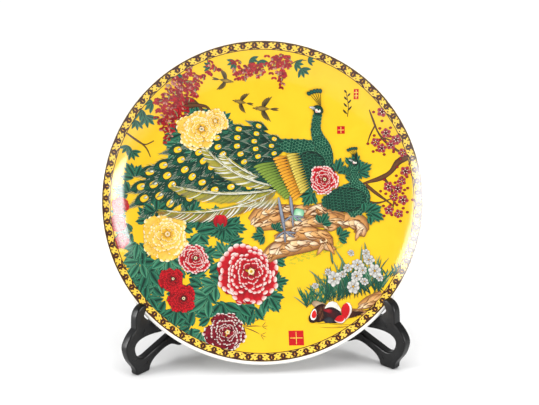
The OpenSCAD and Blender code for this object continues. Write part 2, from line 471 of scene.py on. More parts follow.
@dataclass
class Enamel:
    """The painted shapes of one motif. Each lies on the glaze as a thin, slightly crowned coat.

    Places and lengths are millimetres on the face, from the middle of the plate, angles are
    degrees from its rightward axis, and lift is the height of a shape above the first coat. A
    cell of its grid is at most cell long, and a shape wider than broad has a finer grid across.
    """

    name: str
    plate: Porcelain
    coat: float = 0.05
    crown: float = 0.003
    limit: float = 121.2
    line_width: float = 0.28
    cell: float = 2.6
    broad: float = 2.2
    mesh: bmesh.types.BMesh = field(default_factory=bmesh.new)
    chance: random.Random = field(default_factory=lambda: random.Random(7))

    def lay(self, columns: Sequence[float], rows: Sequence[float], place: Place, tint: Tint,
            line: Colour | None, lift: float) -> None:
        """Lays one grid of enamel, whose outermost cells are its dark outline.

        Args:
            columns: the grid's values along the shape.
            rows: its values across the shape, from -1 to 1.
            place: gives a grid value's place on the face.
            tint: gives a grid value's colour.
            line: colour of the outline, or None for a shape without one.
            lift: height above the first coat.
        """
        patch = bmesh.new()
        ink = patch.loops.layers.float_color.new(INK)
        wide, high = len(columns) - 1, len(rows) - 1
        bmesh.ops.create_grid(patch, x_segments=wide, y_segments=high, size=1)
        spots = {}
        for vertex in patch.verts:
            i = round((vertex.co.x + 1) / 2 * wide)
            j = round((vertex.co.y + 1) / 2 * high)
            spots[vertex] = (i, j)
            x, y = place(columns[i], rows[j])
            vertex.co = (x, y, self.coat + lift + self.crown * (1 - rows[j] ** 2))
        shades = {}
        for face in patch.faces:
            mean_i = sum(spots[v][0] for v in face.verts) / 4
            mean_j = sum(spots[v][1] for v in face.verts) / 4
            on_edge = mean_i < 1 or mean_i > wide - 1 or mean_j < 1 or mean_j > high - 1
            for corner in face.loops:
                if line is not None and on_edge:
                    corner[ink] = (*line, 1)
                    continue
                spot = spots[corner.vert]
                if spot not in shades:
                    shades[spot] = (*tint(columns[spot[0]], rows[spot[1]]), 1)
                corner[ink] = shades[spot]
        self.keep(patch)

    def keep(self, patch: bmesh.types.BMesh) -> None:
        """Adds a patch to the motif's mesh and frees it."""
        scrap = bpy.data.meshes.new("scrap")
        patch.to_mesh(scrap)
        patch.free()
        self.mesh.from_mesh(scrap)
        bpy.data.meshes.remove(scrap)

    def steps(self, length: float, least: int = 5) -> list[float]:
        """Gives values from 0 to 1 that are close enough to follow the wall, closer at both ends."""
        count = max(least, math.ceil(length / self.cell))
        inner = [i / count for i in range(1, count)]
        end = min(0.5 / count, self.line_width / max(length, 1))
        return [0, end, *inner, 1 - end, 1]

    def sides(self, width: float, fine: bool = False) -> list[float]:
        """Gives values from -1 to 1 whose outer cells are as wide as the outline."""
        edge = 1 - min(0.4, 2 * self.line_width / max(width, 0.5))
        if fine:
            return [-1, -edge, -edge * 0.5, -0.06, 0.06, edge * 0.5, edge, 1]
        return [-1, -edge, 0, edge, 1]

    def stroke(self, root: Point, heading: float, length: float, width: float, wash: Wash,
               bend: float = 0.0, belly: float = 0.5, full: float = 0.75, lift: float = 0.0,
               lobes: float = 0.0) -> Point:
        """Paints a leaf-shaped stroke.

        Args:
            root: where it starts.
            heading: the direction in which it starts.
            length: its length along its middle.
            width: its greatest width.
            wash: its colours.
            bend: how far it turns to the left over its length.
            belly: how far along it is widest.
            full: its fullness, low for blunt ends and high for slender ones.
            lift: its height above the first coat.
            lobes: depth of the scallops at its tip, to its length.

        Returns:
            The place of its tip.
        """
        start, turn = math.radians(heading), math.radians(bend)
        power = math.log(0.5) / math.log(belly)

        def place(along: float, across: float) -> Point:
            """Gives a place on the bent leaf."""
            reach = along * (1 + lobes * math.cos(across * 2.5 * math.pi) * along)
            angle = start + turn * reach
            if abs(turn) < 0.02:
                x, y = length * reach * math.cos(start), length * reach * math.sin(start)
            else:
                x = length / turn * (math.sin(angle) - math.sin(start))
                y = length / turn * (math.cos(start) - math.cos(angle))
            half = width / 2 * max(math.sin(math.pi * along ** power) ** full, 0.06) * across
            return root[0] + x - half * math.sin(angle), root[1] + y + half * math.cos(angle)

        fine = width > self.broad
        self.lay(self.steps(length), self.sides(width, fine), place, wash.at, wash.line, lift)
        return place(1, 0)

    def ribbon(self, points: Sequence[Point], widths: Sequence[float], wash: Wash,
               lift: float = 0.0) -> Callable[[float], tuple[Point, float]]:
        """Paints a band of changing width along a smooth curve.

        Args:
            points: places that the curve goes through.
            widths: the band's width at each of them.
            wash: its colours.
            lift: its height above the first coat.

        Returns:
            A function that gives the curve's place and direction in degrees, at 0 to 1 along it.
        """
        last = len(points) - 1

        def between(values: Sequence[float], along: float) -> float:
            """Gives the value at along on a smooth curve through the values."""
            i = min(int(along * last), last - 1)
            t = along * last - i
            a, b, c, d = (values[min(max(k, 0), last)] for k in range(i - 1, i + 3))
            return 0.5 * (2 * b + (c - a) * t + (2 * a - 5 * b + 4 * c - d) * t ** 2
                          + (3 * b - a - 3 * c + d) * t ** 3)

        across_values, up_values = [p[0] for p in points], [p[1] for p in points]

        def spine(along: float) -> tuple[Point, float]:
            """Gives the place and the direction at along."""
            here = (between(across_values, along), between(up_values, along))
            low, high = max(along - 0.01, 0), min(along + 0.01, 1)
            heading = math.atan2(between(up_values, high) - between(up_values, low),
                                 between(across_values, high) - between(across_values, low))
            return here, math.degrees(heading)

        def place(along: float, across: float) -> Point:
            """Gives a place on the band."""
            (x, y), heading = spine(along)
            half = between(widths, along) / 2 * across
            angle = math.radians(heading)
            return x - half * math.sin(angle), y + half * math.cos(angle)

        length = path_length(points)
        widest = max(widths)
        self.lay(self.steps(length), self.sides(widest, widest > self.broad), place, wash.at, wash.line, lift)
        return spine

    def blob(self, middle: Point, wide: float, high: float, wash: Wash, turn: float = 0.0,
             wobble: float = 0.0, lift: float = 0.0) -> None:
        """Paints a rounded shape; its wash runs from the middle to the edge.

        Args:
            middle: its middle.
            wide: its width before it is turned.
            high: its height before it is turned.
            wash: its colours, root in the middle and tip at the edge.
            turn: how far it is turned.
            wobble: depth of the irregular waves of its edge, to its radius.
            lift: its height above the first coat.
        """
        phases = [self.chance.uniform(0, math.tau) for _ in range(3)]
        angle = math.radians(turn)

        def place(along: float, across: float) -> Point:
            """Gives a place on the wobbled ellipse."""
            a, b = along * 2 - 1, across
            x, y = a * math.sqrt(1 - b * b / 2), b * math.sqrt(1 - a * a / 2)
            bearing = math.atan2(y, x)
            wave = 1 + wobble * sum(math.sin(bearing * k + p) / (k - 1)
                                    for k, p in zip((2, 3, 5), phases)) * math.hypot(a, b)
            x, y = x * wide / 2 * wave, y * high / 2 * wave
            return (middle[0] + x * math.cos(angle) - y * math.sin(angle),
                    middle[1] + x * math.sin(angle) + y * math.cos(angle))

        def tint(along: float, across: float) -> Colour:
            """Gives the colour by the distance from the middle."""
            return wash.at(min(1.0, math.hypot(along * 2 - 1, across)), 0.5)

        size = max(wide, high)
        count = max(2, math.ceil(size / 5)) * 2
        edge = 1 - min(0.4, 2 * self.line_width / max(size, 0.5))
        rows = [-1, *(edge * (2 * i / count - 1) for i in range(count + 1)), 1]
        self.lay([(r + 1) / 2 for r in rows], rows, place, tint, wash.line, lift)

    def ring(self, radius: float, width: float, colour: Colour, lift: float = 0.0) -> None:
        """Spins a narrow band round the plate's axis."""
        band = bmesh.new()
        ink = band.loops.layers.float_color.new(INK)
        parts = max(1, math.ceil(width / 1.5))
        ends = [band.verts.new((radius + width * (i / parts - 0.5), 0,
                                self.coat + lift)) for i in range(parts + 1)]
        edges = [band.edges.new(pair) for pair in zip(ends, ends[1:])]
        bmesh.ops.spin(band, geom=ends + edges, cent=(0, 0, 0), axis=(0, 0, 1), dvec=(0, 0, 0),
                       angle=math.tau, steps=360, use_merge=True)
        for face in band.faces:
            for corner in face.loops:
                corner[ink] = (*colour, 1)
        self.keep(band)

    def fire(self, enamel: bpy.types.Material) -> bpy.types.Object:
        """Trims the shapes at their limit, lays them on the face with its normals, as one piece."""
        beyond = {vertex for vertex in self.mesh.verts if math.hypot(vertex.co.x, vertex.co.y) > self.limit}
        outside = [face for face in self.mesh.faces if all(vertex in beyond for vertex in face.verts)]
        bmesh.ops.delete(self.mesh, geom=outside, context="FACES")
        for vertex in self.mesh.verts:
            reach = math.hypot(vertex.co.x, vertex.co.y)
            if reach > self.limit:
                vertex.co.x *= self.limit / reach
                vertex.co.y *= self.limit / reach
        self.mesh.normal_update()
        upside_down = [face for face in self.mesh.faces if face.normal.z < 0]
        bmesh.ops.reverse_faces(self.mesh, faces=upside_down)
        normals = []
        turn = self.plate.place.to_3x3().normalized()
        for vertex in self.mesh.verts:
            x, y, height = vertex.co
            normals.append(turn @ self.plate.face_normal(x, y))
            vertex.co.z = self.plate.face_height(math.hypot(x, y)) + height
        for face in self.mesh.faces:
            face.smooth = True
        self.mesh.transform(self.plate.place)
        piece = finished(self.name, self.mesh, [enamel], Body.PLATE)
        piece.data.normals_split_custom_set_from_vertices(normals)
        return piece


# ---------------------------------------------------------------- the motifs

@dataclass(frozen=True)
class Petals:
    """The washes of a peony, from its outer petals to its heart, and that of its petals' rims."""

    outer: Wash
    middle: Wash
    heart: Wash
    rim: Wash


WHITE_RIM = unlined(tone(206, 40, 52), CHALK)
RED_PEONY = Petals(Wash(tone(84, 4, 14), tone(214, 24, 38), side=tone(150, 8, 22), reach=4,
                        line=tone(110, 30, 34)),
                   Wash(tone(110, 6, 18), tone(206, 18, 32), side=tone(130, 6, 20), reach=4,
                        line=tone(110, 30, 34)), Wash(WINE, tone(196, 30, 42)), WHITE_RIM)
DARK_PEONY = Petals(Wash(tone(70, 4, 14), tone(190, 10, 22), side=tone(110, 4, 14)),
                    Wash(tone(64, 4, 14), tone(170, 8, 20)), Wash(tone(50, 2, 10), tone(150, 8, 18)),
                    unlined(CRIMSON, tone(206, 24, 36)))
MAROON_PEONY = Petals(Wash(tone(70, 6, 22), tone(140, 14, 34), side=tone(90, 6, 24)),
                      Wash(tone(60, 4, 18), tone(130, 12, 32)), Wash(WINE, tone(160, 20, 40)),
                      unlined(tone(160, 30, 50), CHALK))
YELLOW_PEONY = Petals(Wash(tone(222, 140, 18), tone(250, 214, 96), side=tone(240, 186, 52), reach=3,
                           line=tone(150, 92, 24)),
                      Wash(AMBER, tone(252, 220, 104), side=HONEY, reach=3, line=tone(150, 92, 24)),
                      Wash(AMBER, tone(248, 206, 70)), unlined(tone(246, 196, 70), CREAM))

GREEN_LEAF = Wash(tone(16, 74, 58), tone(34, 112, 84), side=tone(62, 140, 106), vein=tone(8, 44, 34), reach=3)
PALE_LEAF = Wash(tone(30, 96, 72), tone(60, 140, 108), side=tone(92, 160, 122), vein=PINE, reach=3)


def turned(origin: Point, heading: float, distance: float) -> Point:
    """Gives the point at a distance from the origin in the direction of heading, in degrees."""
    angle = math.radians(heading)
    return origin[0] + distance * math.cos(angle), origin[1] + distance * math.sin(angle)


def leaf_spray(enamel: Enamel, root: Point, heading: float, size: float, wash: Wash = GREEN_LEAF,
               lift: float = 0.0) -> None:
    """Paints a lobed peony leaf: three leaflets, each with two side lobes.

    Args:
        enamel: the motif that it belongs to.
        root: where its stalk starts.
        heading: its direction.
        size: its length.
        wash: its colours.
        lift: its height above the first coat.
    """
    for spread, reach in ((-48, 0.78), (48, 0.78), (0, 1)):
        side = math.copysign(1, spread) if spread else 0
        foot = turned(root, heading + spread, size * 0.12)
        for lobe in (-1, 1):
            enamel.stroke(turned(foot, heading + spread, size * reach * 0.2), heading + spread + 30 * lobe,
                          size * reach * 0.62, size * 0.25, wash, bend=-14 * lobe, belly=0.45,
                          lift=lift + 0.012 + 0.012 * lobe)
        enamel.stroke(foot, heading + spread, size * reach * 0.95, size * 0.36, wash, bend=10 * side,
                      belly=0.45, full=0.85, lift=lift + 0.04 + 0.012 * side)


def peony(enamel: Enamel, middle: Point, radius: float, petals: Petals, lift: float = 0.1) -> None:
    """Paints a full peony, from its outer petals to its heart.

    Args:
        enamel: the motif that it belongs to.
        middle: its middle.
        radius: its outer radius.
        petals: its colours.
        lift: its height above the first coat.
    """
    rings = ((1.0, 8, petals.outer), (0.83, 7, petals.outer), (0.65, 7, petals.middle),
             (0.48, 6, petals.middle), (0.32, 5, petals.heart))
    height = lift
    for reach, count, wash in rings:
        start = enamel.chance.uniform(0, 360)
        middle = turned(middle, 40, radius * 0.035)
        for i in range(count):
            heading = start + 360 * i / count + enamel.chance.uniform(-14, 14)
            grown = radius * reach * enamel.chance.uniform(0.82, 1.06)
            root = turned(middle, heading, grown * 0.28)
            bend = enamel.chance.uniform(-22, 22)
            height += 0.013
            enamel.stroke(root, heading, grown * 0.72, grown * 0.86, wash, belly=0.72, full=0.4, lobes=0.06,
                          bend=bend, lift=height)
            for order, k in enumerate((-2, 2, -1, 1, 0)):
                aim = heading + bend * 0.5 + 17 * k
                finger = grown * (0.79 - 0.03 * k * k) * enamel.chance.uniform(0.92, 1.06)
                enamel.stroke(root, aim, finger, grown * 0.33, wash, belly=0.78, full=0.5,
                              lift=height + 0.001 * order)
                tip = turned(root, aim, finger * 0.8)
                enamel.stroke(tip, aim, finger * 0.2, grown * 0.2, petals.rim, belly=0.6, full=0.5,
                              lift=height + 0.006 + 0.001 * order)
    for i in range(9):
        enamel.blob(turned(middle, i * 40, radius * 0.08), radius * 0.06, radius * 0.06,
                    unlined(HONEY, CREAM), lift=height + 0.02)


def bud(enamel: Enamel, root: Point, heading: float, size: float, petals: Petals, lift: float = 0.1) -> None:
    """Paints a closed bud with its sepals."""
    for spread in (-24, 24, 0):
        enamel.stroke(root, heading + spread, size, size * 0.55, petals.outer, belly=0.6, full=0.6,
                      bend=-spread, lift=lift + 0.02 * (spread == 0))
    for spread in (-60, -20, 20, 60):
        enamel.stroke(root, heading + spread, size * 0.5, size * 0.2, GREEN_LEAF, lift=lift + 0.06)


def blossom(enamel: Enamel, middle: Point, radius: float, start: float, wash: Wash,
            lift: float = 0.1) -> None:
    """Paints a five-petalled blossom with its stamens."""
    for i in range(5):
        heading = start + 72 * i
        enamel.stroke(turned(middle, heading, radius * 0.1), heading, radius * 0.9, radius * 0.8, wash,
                      belly=0.6, full=0.55, lift=lift + 0.012 * i)
    for i in range(5):
        enamel.stroke(middle, start + 36 + 72 * i, radius * 0.5, radius * 0.12,
                      unlined(CREAM, CREAM), lift=lift + 0.06)
    enamel.blob(middle, radius * 0.34, radius * 0.34, unlined(HONEY, AMBER), lift=lift + 0.09)


def twig(enamel: Enamel, points: Sequence[Point], thick: float, thin: float,
         lift: float = 0.06) -> Callable[[float], tuple[Point, float]]:
    """Paints a tapering branch and gives its curve."""
    last = len(points) - 1
    widths = [thick + (thin - thick) * i / last + (0.25 * thick if i % 2 and i < last else 0)
              for i in range(last + 1)]
    return enamel.ribbon(points, widths, Wash(BARK, BARK, side=tone(58, 34, 20)), lift=lift)


def plumage(enamel: Enamel, points: Sequence[Point], widths: Sequence[float], size: float, ground: Wash,
            scale: Wash, lift: float) -> None:
    """Paints a part of a bird's body and covers it with rows of overlapping scales.

    Args:
        enamel: the motif that it belongs to.
        points: places along the part's middle, from the head towards the tail.
        widths: its width at each of them.
        size: length of a scale.
        ground: its colours below the scales.
        scale: the scales' colours.
        lift: its height above the first coat.
    """
    spine = enamel.ribbon(points, widths, ground, lift=lift)
    length = path_length(points)
    rows = max(2, round(length / size / 0.66))
    for row in range(rows):
        along = 1 - (row + 0.6) / rows
        here, heading = spine(along)
        width = width_at(widths, along)
        count = max(1, round(width / size / 0.86))
        for i in range(count):
            share = (i + (0.7 if row % 2 else 0.3)) / count - 0.5
            spot = turned(here, heading + 90, share * width * 0.94)
            enamel.stroke(spot, heading, size * 1.2, size * 0.95, scale, belly=0.62, full=0.5,
                          lift=lift + 0.03 + 0.004 * row + 0.0005 * i)


@dataclass
class Border:
    """The band of scrolls between two dark lines, just inside the rim."""

    plate: Porcelain
    inner: float = 121.2
    outer: float = 127.2
    units: int = 84

    def paint(self, material: bpy.types.Material) -> None:
        """Paints the band."""
        enamel = Enamel("border_scrolls", self.plate, line_width=0.15, limit=127.3)
        brown = tone(70, 36, 22)
        enamel.ring((self.inner + self.outer) / 2, self.outer - self.inner, tone(250, 208, 74))
        enamel.ring(self.inner, 0.6, brown, lift=0.05)
        enamel.ring(self.outer - 0.4, 0.9, tone(50, 30, 22), lift=0.05)
        scroll = unlined(brown, brown)
        middle = (self.inner + self.outer) / 2
        for i in range(self.units):
            bearing = 360 * (i + 0.5) / self.units
            out = bearing if i % 2 else bearing + 180
            spot = turned((0, 0), bearing, middle)
            foot = turned(spot, out + 180, 2.4)
            for side in (-1, 1):
                enamel.stroke(foot, out + 60 * side, 5.4, 1.3, scroll, bend=-100 * side, full=0.5, lift=0.06)
                enamel.stroke(turned(foot, out, 0.5), out + 86 * side, 5.2, 1.2, scroll, bend=40 * side,
                              full=0.5, lift=0.075)
                enamel.stroke(turned(foot, out, 2.0), out + 44 * side, 3.4, 1.1, scroll, bend=90 * side,
                              full=0.5, lift=0.08)
                enamel.blob(turned(turned(spot, bearing + 90 * side, 3.9), out, 1.5), 1.2, 1.0, scroll,
                            lift=0.07)
            enamel.stroke(foot, out, 4.8, 2.2, scroll, belly=0.66, full=0.6, lift=0.09)
            enamel.stroke(turned(foot, out, 1.6), out, 2.0, 0.6, unlined(AMBER, HONEY), lift=0.11)
        enamel.fire(material)


@dataclass
class Train:
    """The big peacock's train: rows of eyed feathers that sweep down to the left."""

    plate: Porcelain
    rows: int = 9

    def feather(self, enamel: Enamel, eye: Point, heading: float, size: float, lift: float) -> None:
        """Paints one feather whose eye is at a given place.

        Args:
            enamel: the motif that it belongs to.
            eye: the middle of its eye.
            heading: the direction in which it points.
            size: the length of its eye.
            lift: its height above the first coat.
        """
        root = turned(eye, heading + 180, size * 2.0)
        for side in (-1, 1):
            for i in range(12):
                at = turned(root, heading, size * (0.6 + i * 0.24))
                shade = tone(176, 182, 160) if i % 2 == 0 else tone(60, 92, 76)
                enamel.stroke(at, heading + side * (54 - 4.2 * i), size * 1.75, 0.5,
                              unlined(tone(16, 60, 46), shade), bend=-26 * side, lift=lift)
        ground = Wash(tone(10, 40, 32), tone(14, 70, 54), side=tone(14, 58, 46), line=None)
        enamel.stroke(root, heading, size * 3.4, size * 1.6, ground, belly=0.6, full=0.6, lift=lift + 0.02)
        for side in (-1, 1):
            for i in range(9):
                at = turned(root, heading, size * (0.4 + i * 0.3))
                enamel.stroke(at, heading + side * (50 - 4.6 * i), size * 0.85, 0.4,
                              unlined(tone(10, 52, 40), tone(40, 112, 84)), bend=-26 * side,
                              lift=lift + 0.035)
        halo = Wash(tone(24, 92, 70), tone(8, 40, 32), line=tone(36, 106, 78))
        enamel.blob(eye, size * 1.55, size * 1.24, halo, turn=heading, lift=lift + 0.045)
        enamel.blob(eye, size * 1.22, size * 0.94, Wash(tone(254, 220, 50), tone(240, 190, 30), line=SOOT),
                    turn=heading, lift=lift + 0.06)
        enamel.stroke(turned(eye, heading, size * 0.12), heading + 180, size * 0.62, size * 0.36,
                      Wash(tone(150, 156, 120), CHALK, line=tone(60, 70, 50)), belly=0.6, full=0.6,
                      lift=lift + 0.075)

    def paint(self, material: bpy.types.Material) -> None:
        """Paints the train from its far end to the bird's back."""
        enamel = Enamel("peacock_train", self.plate, line_width=0.3)
        axis = ((14, 45), (-8, 47), (-34, 43), (-58, 27), (-80, 11), (-96, 0))
        widths = (9, 34, 36, 42, 44, 36)
        ground = Wash(tone(10, 44, 34), tone(10, 50, 40), side=tone(16, 62, 48), line=None)
        spine = enamel.ribbon(axis, [w * 0.8 for w in widths[:-1]] + [6], ground)
        for row in range(self.rows):
            along = 1 - (row + 0.35) / self.rows
            (x, y), heading = spine(along)
            width = width_at(widths, along)
            size = 3.6 + 2.6 * min(along * 1.25, 1)
            count = max(2, round(width / (size * 1.6)))
            for i in range(count):
                share = (i + 0.5 + (0.22 if row % 2 else -0.22)) / count * 2 - 1
                eye = turned((x, y), heading - 90, share * width * 0.48)
                eye = turned(eye, heading, -abs(share) * size * 1.1)
                fan = heading - share * 26
                self.feather(enamel, eye, fan, size, lift=0.06 + row * 0.06 + i * 0.006)
        enamel.fire(material)


@dataclass
class Plumes:
    """The long pale wing plumes that lie over the train."""

    plate: Porcelain

    def plume(self, enamel: Enamel, root: Point, heading: float, length: float, bend: float,
              barbs: tuple[Colour, Colour], lift: float) -> None:
        """Paints one plume: a shaft with a row of barbs on each side.

        Args:
            enamel: the motif that it belongs to.
            root: where its shaft starts.
            heading: the direction in which it starts.
            length: the length of its shaft.
            bend: how far it turns over that length.
            barbs: the colours of its long lower barbs and its short upper ones.
            lift: its height above the first coat.
        """
        count = round(length)
        for i in range(count):
            along = (i + 1) / count
            turn = math.radians(bend * along)
            start = math.radians(heading)
            radius = length / math.radians(bend)
            at = (root[0] + radius * (math.sin(start + turn) - math.sin(start)),
                  root[1] + radius * (math.cos(start) - math.cos(start + turn)))
            swell = math.sin(math.pi * min(along * 0.84 + 0.12, 1)) ** 0.7
            reach = 15 * swell * enamel.chance.uniform(0.85, 1.1)
            for side, colour, spread, share in ((1, barbs[0], 46, 1), (-1, barbs[1], 24, 0.55)):
                tint = enamel.chance.choice((colour, colour, colour, CHALK, OLIVE, tone(126, 116, 90)))
                enamel.stroke(at, heading + bend * along + side * spread, reach * share, 0.75,
                              unlined(mixed(tint, OLIVE, 0.5), tint), bend=-30 * side,
                              lift=lift + 0.002 * i + 0.01 * enamel.chance.random())
        enamel.stroke(root, heading, length, 1.0, Wash(CHALK, CREAM, line=tone(110, 110, 90)), bend=bend,
                      lift=lift + 0.12)

    def paint(self, material: bpy.types.Material) -> None:
        """Paints the plumes from the lowest to the highest."""
        enamel = Enamel("wing_plumes", self.plate, line_width=0.2)
        pale, dull, brown = tone(214, 212, 190), tone(170, 158, 66), tone(140, 96, 50)
        green = Wash(tone(12, 56, 44), tone(14, 62, 48), side=tone(8, 36, 30), line=None)
        enamel.ribbon([(22, 24), (8, 22), (-8, 23), (-24, 24), (-38, 22)], [22, 28, 26, 18, 8], green,
                      lift=0.45)
        for _ in range(120):
            spot = (enamel.chance.uniform(-34, 18), 23 + enamel.chance.uniform(-9, 9))
            heading = enamel.chance.uniform(170, 215)
            shade = enamel.chance.choice((tone(44, 112, 86), tone(150, 164, 140)))
            enamel.stroke(spot, heading, 6, 0.5, unlined(tone(16, 60, 46), shade), bend=20, lift=0.5)
        enamel.ribbon([(12, 12), (-6, 11), (-24, 10), (-44, 10)], [8, 14, 16, 12], green, lift=0.44)
        train = Train(self.plate)
        for order, eye in enumerate(((-10, 12), (-25, 12), (-38, 10), (-48, 16))):
            train.feather(enamel, eye, 196, 5.2, 0.46 + 0.05 * order)
        for root, heading, length, bend, barbs, lift in (
                ((-2, 19), 158, 34, -22, (dull, dull), 0.55), ((9, 12), 170, 64, -40, (dull, pale), 0.6),
                ((10, 9), 190, 82, -26, (dull, pale), 0.69), ((12, 9), 208, 97, -38, (brown, dull), 0.78)):
            self.plume(enamel, root, heading, length, bend, barbs, lift)
        for i in range(16):
            enamel.stroke((15 - i * 1.9, 4 - i * 0.45), 244 - i * 3, 15 - i * 0.5, 1.1,
                          unlined(tone(170, 166, 110), CHALK if i % 2 else tone(120, 116, 96)),
                          bend=-20, lift=0.9 + 0.006 * i)
        enamel.fire(material)


@dataclass
class Peacock:
    """A peacock's body, neck, head and crest."""

    plate: Porcelain
    name: str
    head: Point
    size: float
    neck: Sequence[Point]
    neck_widths: Sequence[float]
    back: Sequence[Point]
    back_widths: Sequence[float]
    shoulder: Point
    shoulder_size: Point
    lift: float = 0.5

    def paint(self, material: bpy.types.Material) -> None:
        """Paints the bird from its back to its crest."""
        enamel = Enamel(self.name, self.plate, line_width=0.24)
        dark = Wash(tone(10, 52, 42), tone(14, 70, 54), side=tone(8, 36, 30))
        scale = Wash(tone(8, 50, 38), tone(16, 78, 58), side=tone(10, 60, 46), line=tone(96, 166, 128))
        deep = Wash(tone(6, 34, 28), tone(14, 66, 50), side=tone(8, 46, 36), line=tone(60, 130, 98))
        grain = 3.0 * self.size ** 0.4
        plumage(enamel, self.back, self.back_widths, grain, dark, scale, self.lift)
        plumage(enamel, self.neck, self.neck_widths, grain, dark, scale, self.lift + 0.12)
        (x, y), (wide, high) = self.shoulder, self.shoulder_size
        enamel.blob(self.shoulder, wide, high, dark, lift=self.lift + 0.3)
        shares = (1, 0.85, 0.5, 0, -0.5, -0.85, -1)
        points = [(x + wide / 2 * t, y + high * 0.08 * t) for t in shares]
        widths = [high * math.sqrt(max(1 - t * t, 0.06)) * 0.95 for t in shares]
        plumage(enamel, points, widths, grain * 1.08, dark, deep, self.lift + 0.33)
        self.crown(enamel, self.lift + 0.5)
        enamel.fire(material)

    def crown(self, enamel: Enamel, lift: float) -> None:
        """Paints the head, the face patch, the beak and the crest."""
        grow = self.size
        x, y = self.head
        enamel.blob((x, y), 9 * grow, 7.4 * grow, Wash(tone(20, 84, 62), tone(8, 44, 34)), turn=146,
                    lift=lift)
        enamel.stroke((x - 2.2 * grow, y + 0.8 * grow), 150, 5.4 * grow, 2.7 * grow,
                      Wash(STONE, tone(226, 226, 214)), belly=0.3, bend=26, lift=lift + 0.05)
        enamel.blob((x - 0.2 * grow, y - 0.6 * grow), 5.4 * grow, 3 * grow,
                    Wash(CHALK, tone(214, 206, 190)), turn=165, lift=lift + 0.08)
        enamel.blob((x - 1.4 * grow, y - 1.6 * grow), 2.6 * grow, 1.2 * grow,
                    Wash(tone(200, 40, 50), BLUSH), turn=160, lift=lift + 0.11)
        enamel.blob((x + 0.2 * grow, y + 0.2 * grow), 1.5 * grow, 1.3 * grow, Wash(SOOT, SOOT),
                    lift=lift + 0.14)
        root = (x + 2.4 * grow, y + 2.6 * grow)
        for i in range(5):
            heading = 93 + 10 * i
            reach = (12.4 + 0.5 * i) * grow
            enamel.stroke(root, heading, reach, 0.5 * grow ** 0.5, unlined(SOOT, SOOT), lift=lift + 0.1)
            enamel.blob(turned(root, heading, reach), 3.8 * grow, 3.0 * grow,
                        Wash(tone(30, 100, 84), tone(8, 44, 42)), turn=heading, lift=lift + 0.14)


@dataclass
class Wing:
    """The folded wing, in olive, amber and yellow bands of feathers, and the bird's legs."""

    plate: Porcelain

    def paint(self, material: bpy.types.Material) -> None:
        """Paints the bands from the farthest to the nearest, then the legs."""
        enamel = Enamel("folded_wing", self.plate, line_width=0.22)
        bands = ((tone(74, 104, 36), tone(136, 162, 62), (15, 31.5), (27, 7), 22, 0.5, 0.7),
                 (tone(190, 118, 20), tone(236, 170, 46), (23, 36), (35, 7), 14, 0.1, 0.9),
                 (tone(150, 134, 40), tone(232, 206, 92), (31, 38), (39, 11), 11, 0.1, 1.1))
        for root_colour, tip_colour, first, last, length, taper, lift in bands:
            for i in range(15):
                share = i / 14
                root = (first[0] + share * (last[0] - first[0]), first[1] + share * (last[1] - first[1]))
                enamel.stroke(root, 184 + 20 * share, length * (1 - taper * share), 3.2,
                              Wash(root_colour, tip_colour, side=mixed(root_colour, SOOT, 0.25), reach=4),
                              bend=14, belly=0.75, full=0.45, lift=lift + 0.012 * i)
        enamel.fire(material)
        legs = Enamel("peacock_legs", self.plate, line_width=0.2)
        grey = Wash(tone(150, 158, 172), tone(126, 134, 150), side=tone(88, 94, 108))
        for x, y, drop, lean in ((13, 3, 28, -80), (22.5, 4, 16, -83)):
            ankle = legs.stroke((x, y), lean, drop, 2.9, grey, full=0.3, lift=0.95)
            for heading in (-150, -95, -40, -15):
                legs.stroke(ankle, heading, 9.5, 1.9, grey, bend=12, lift=0.98)
        legs.fire(material)


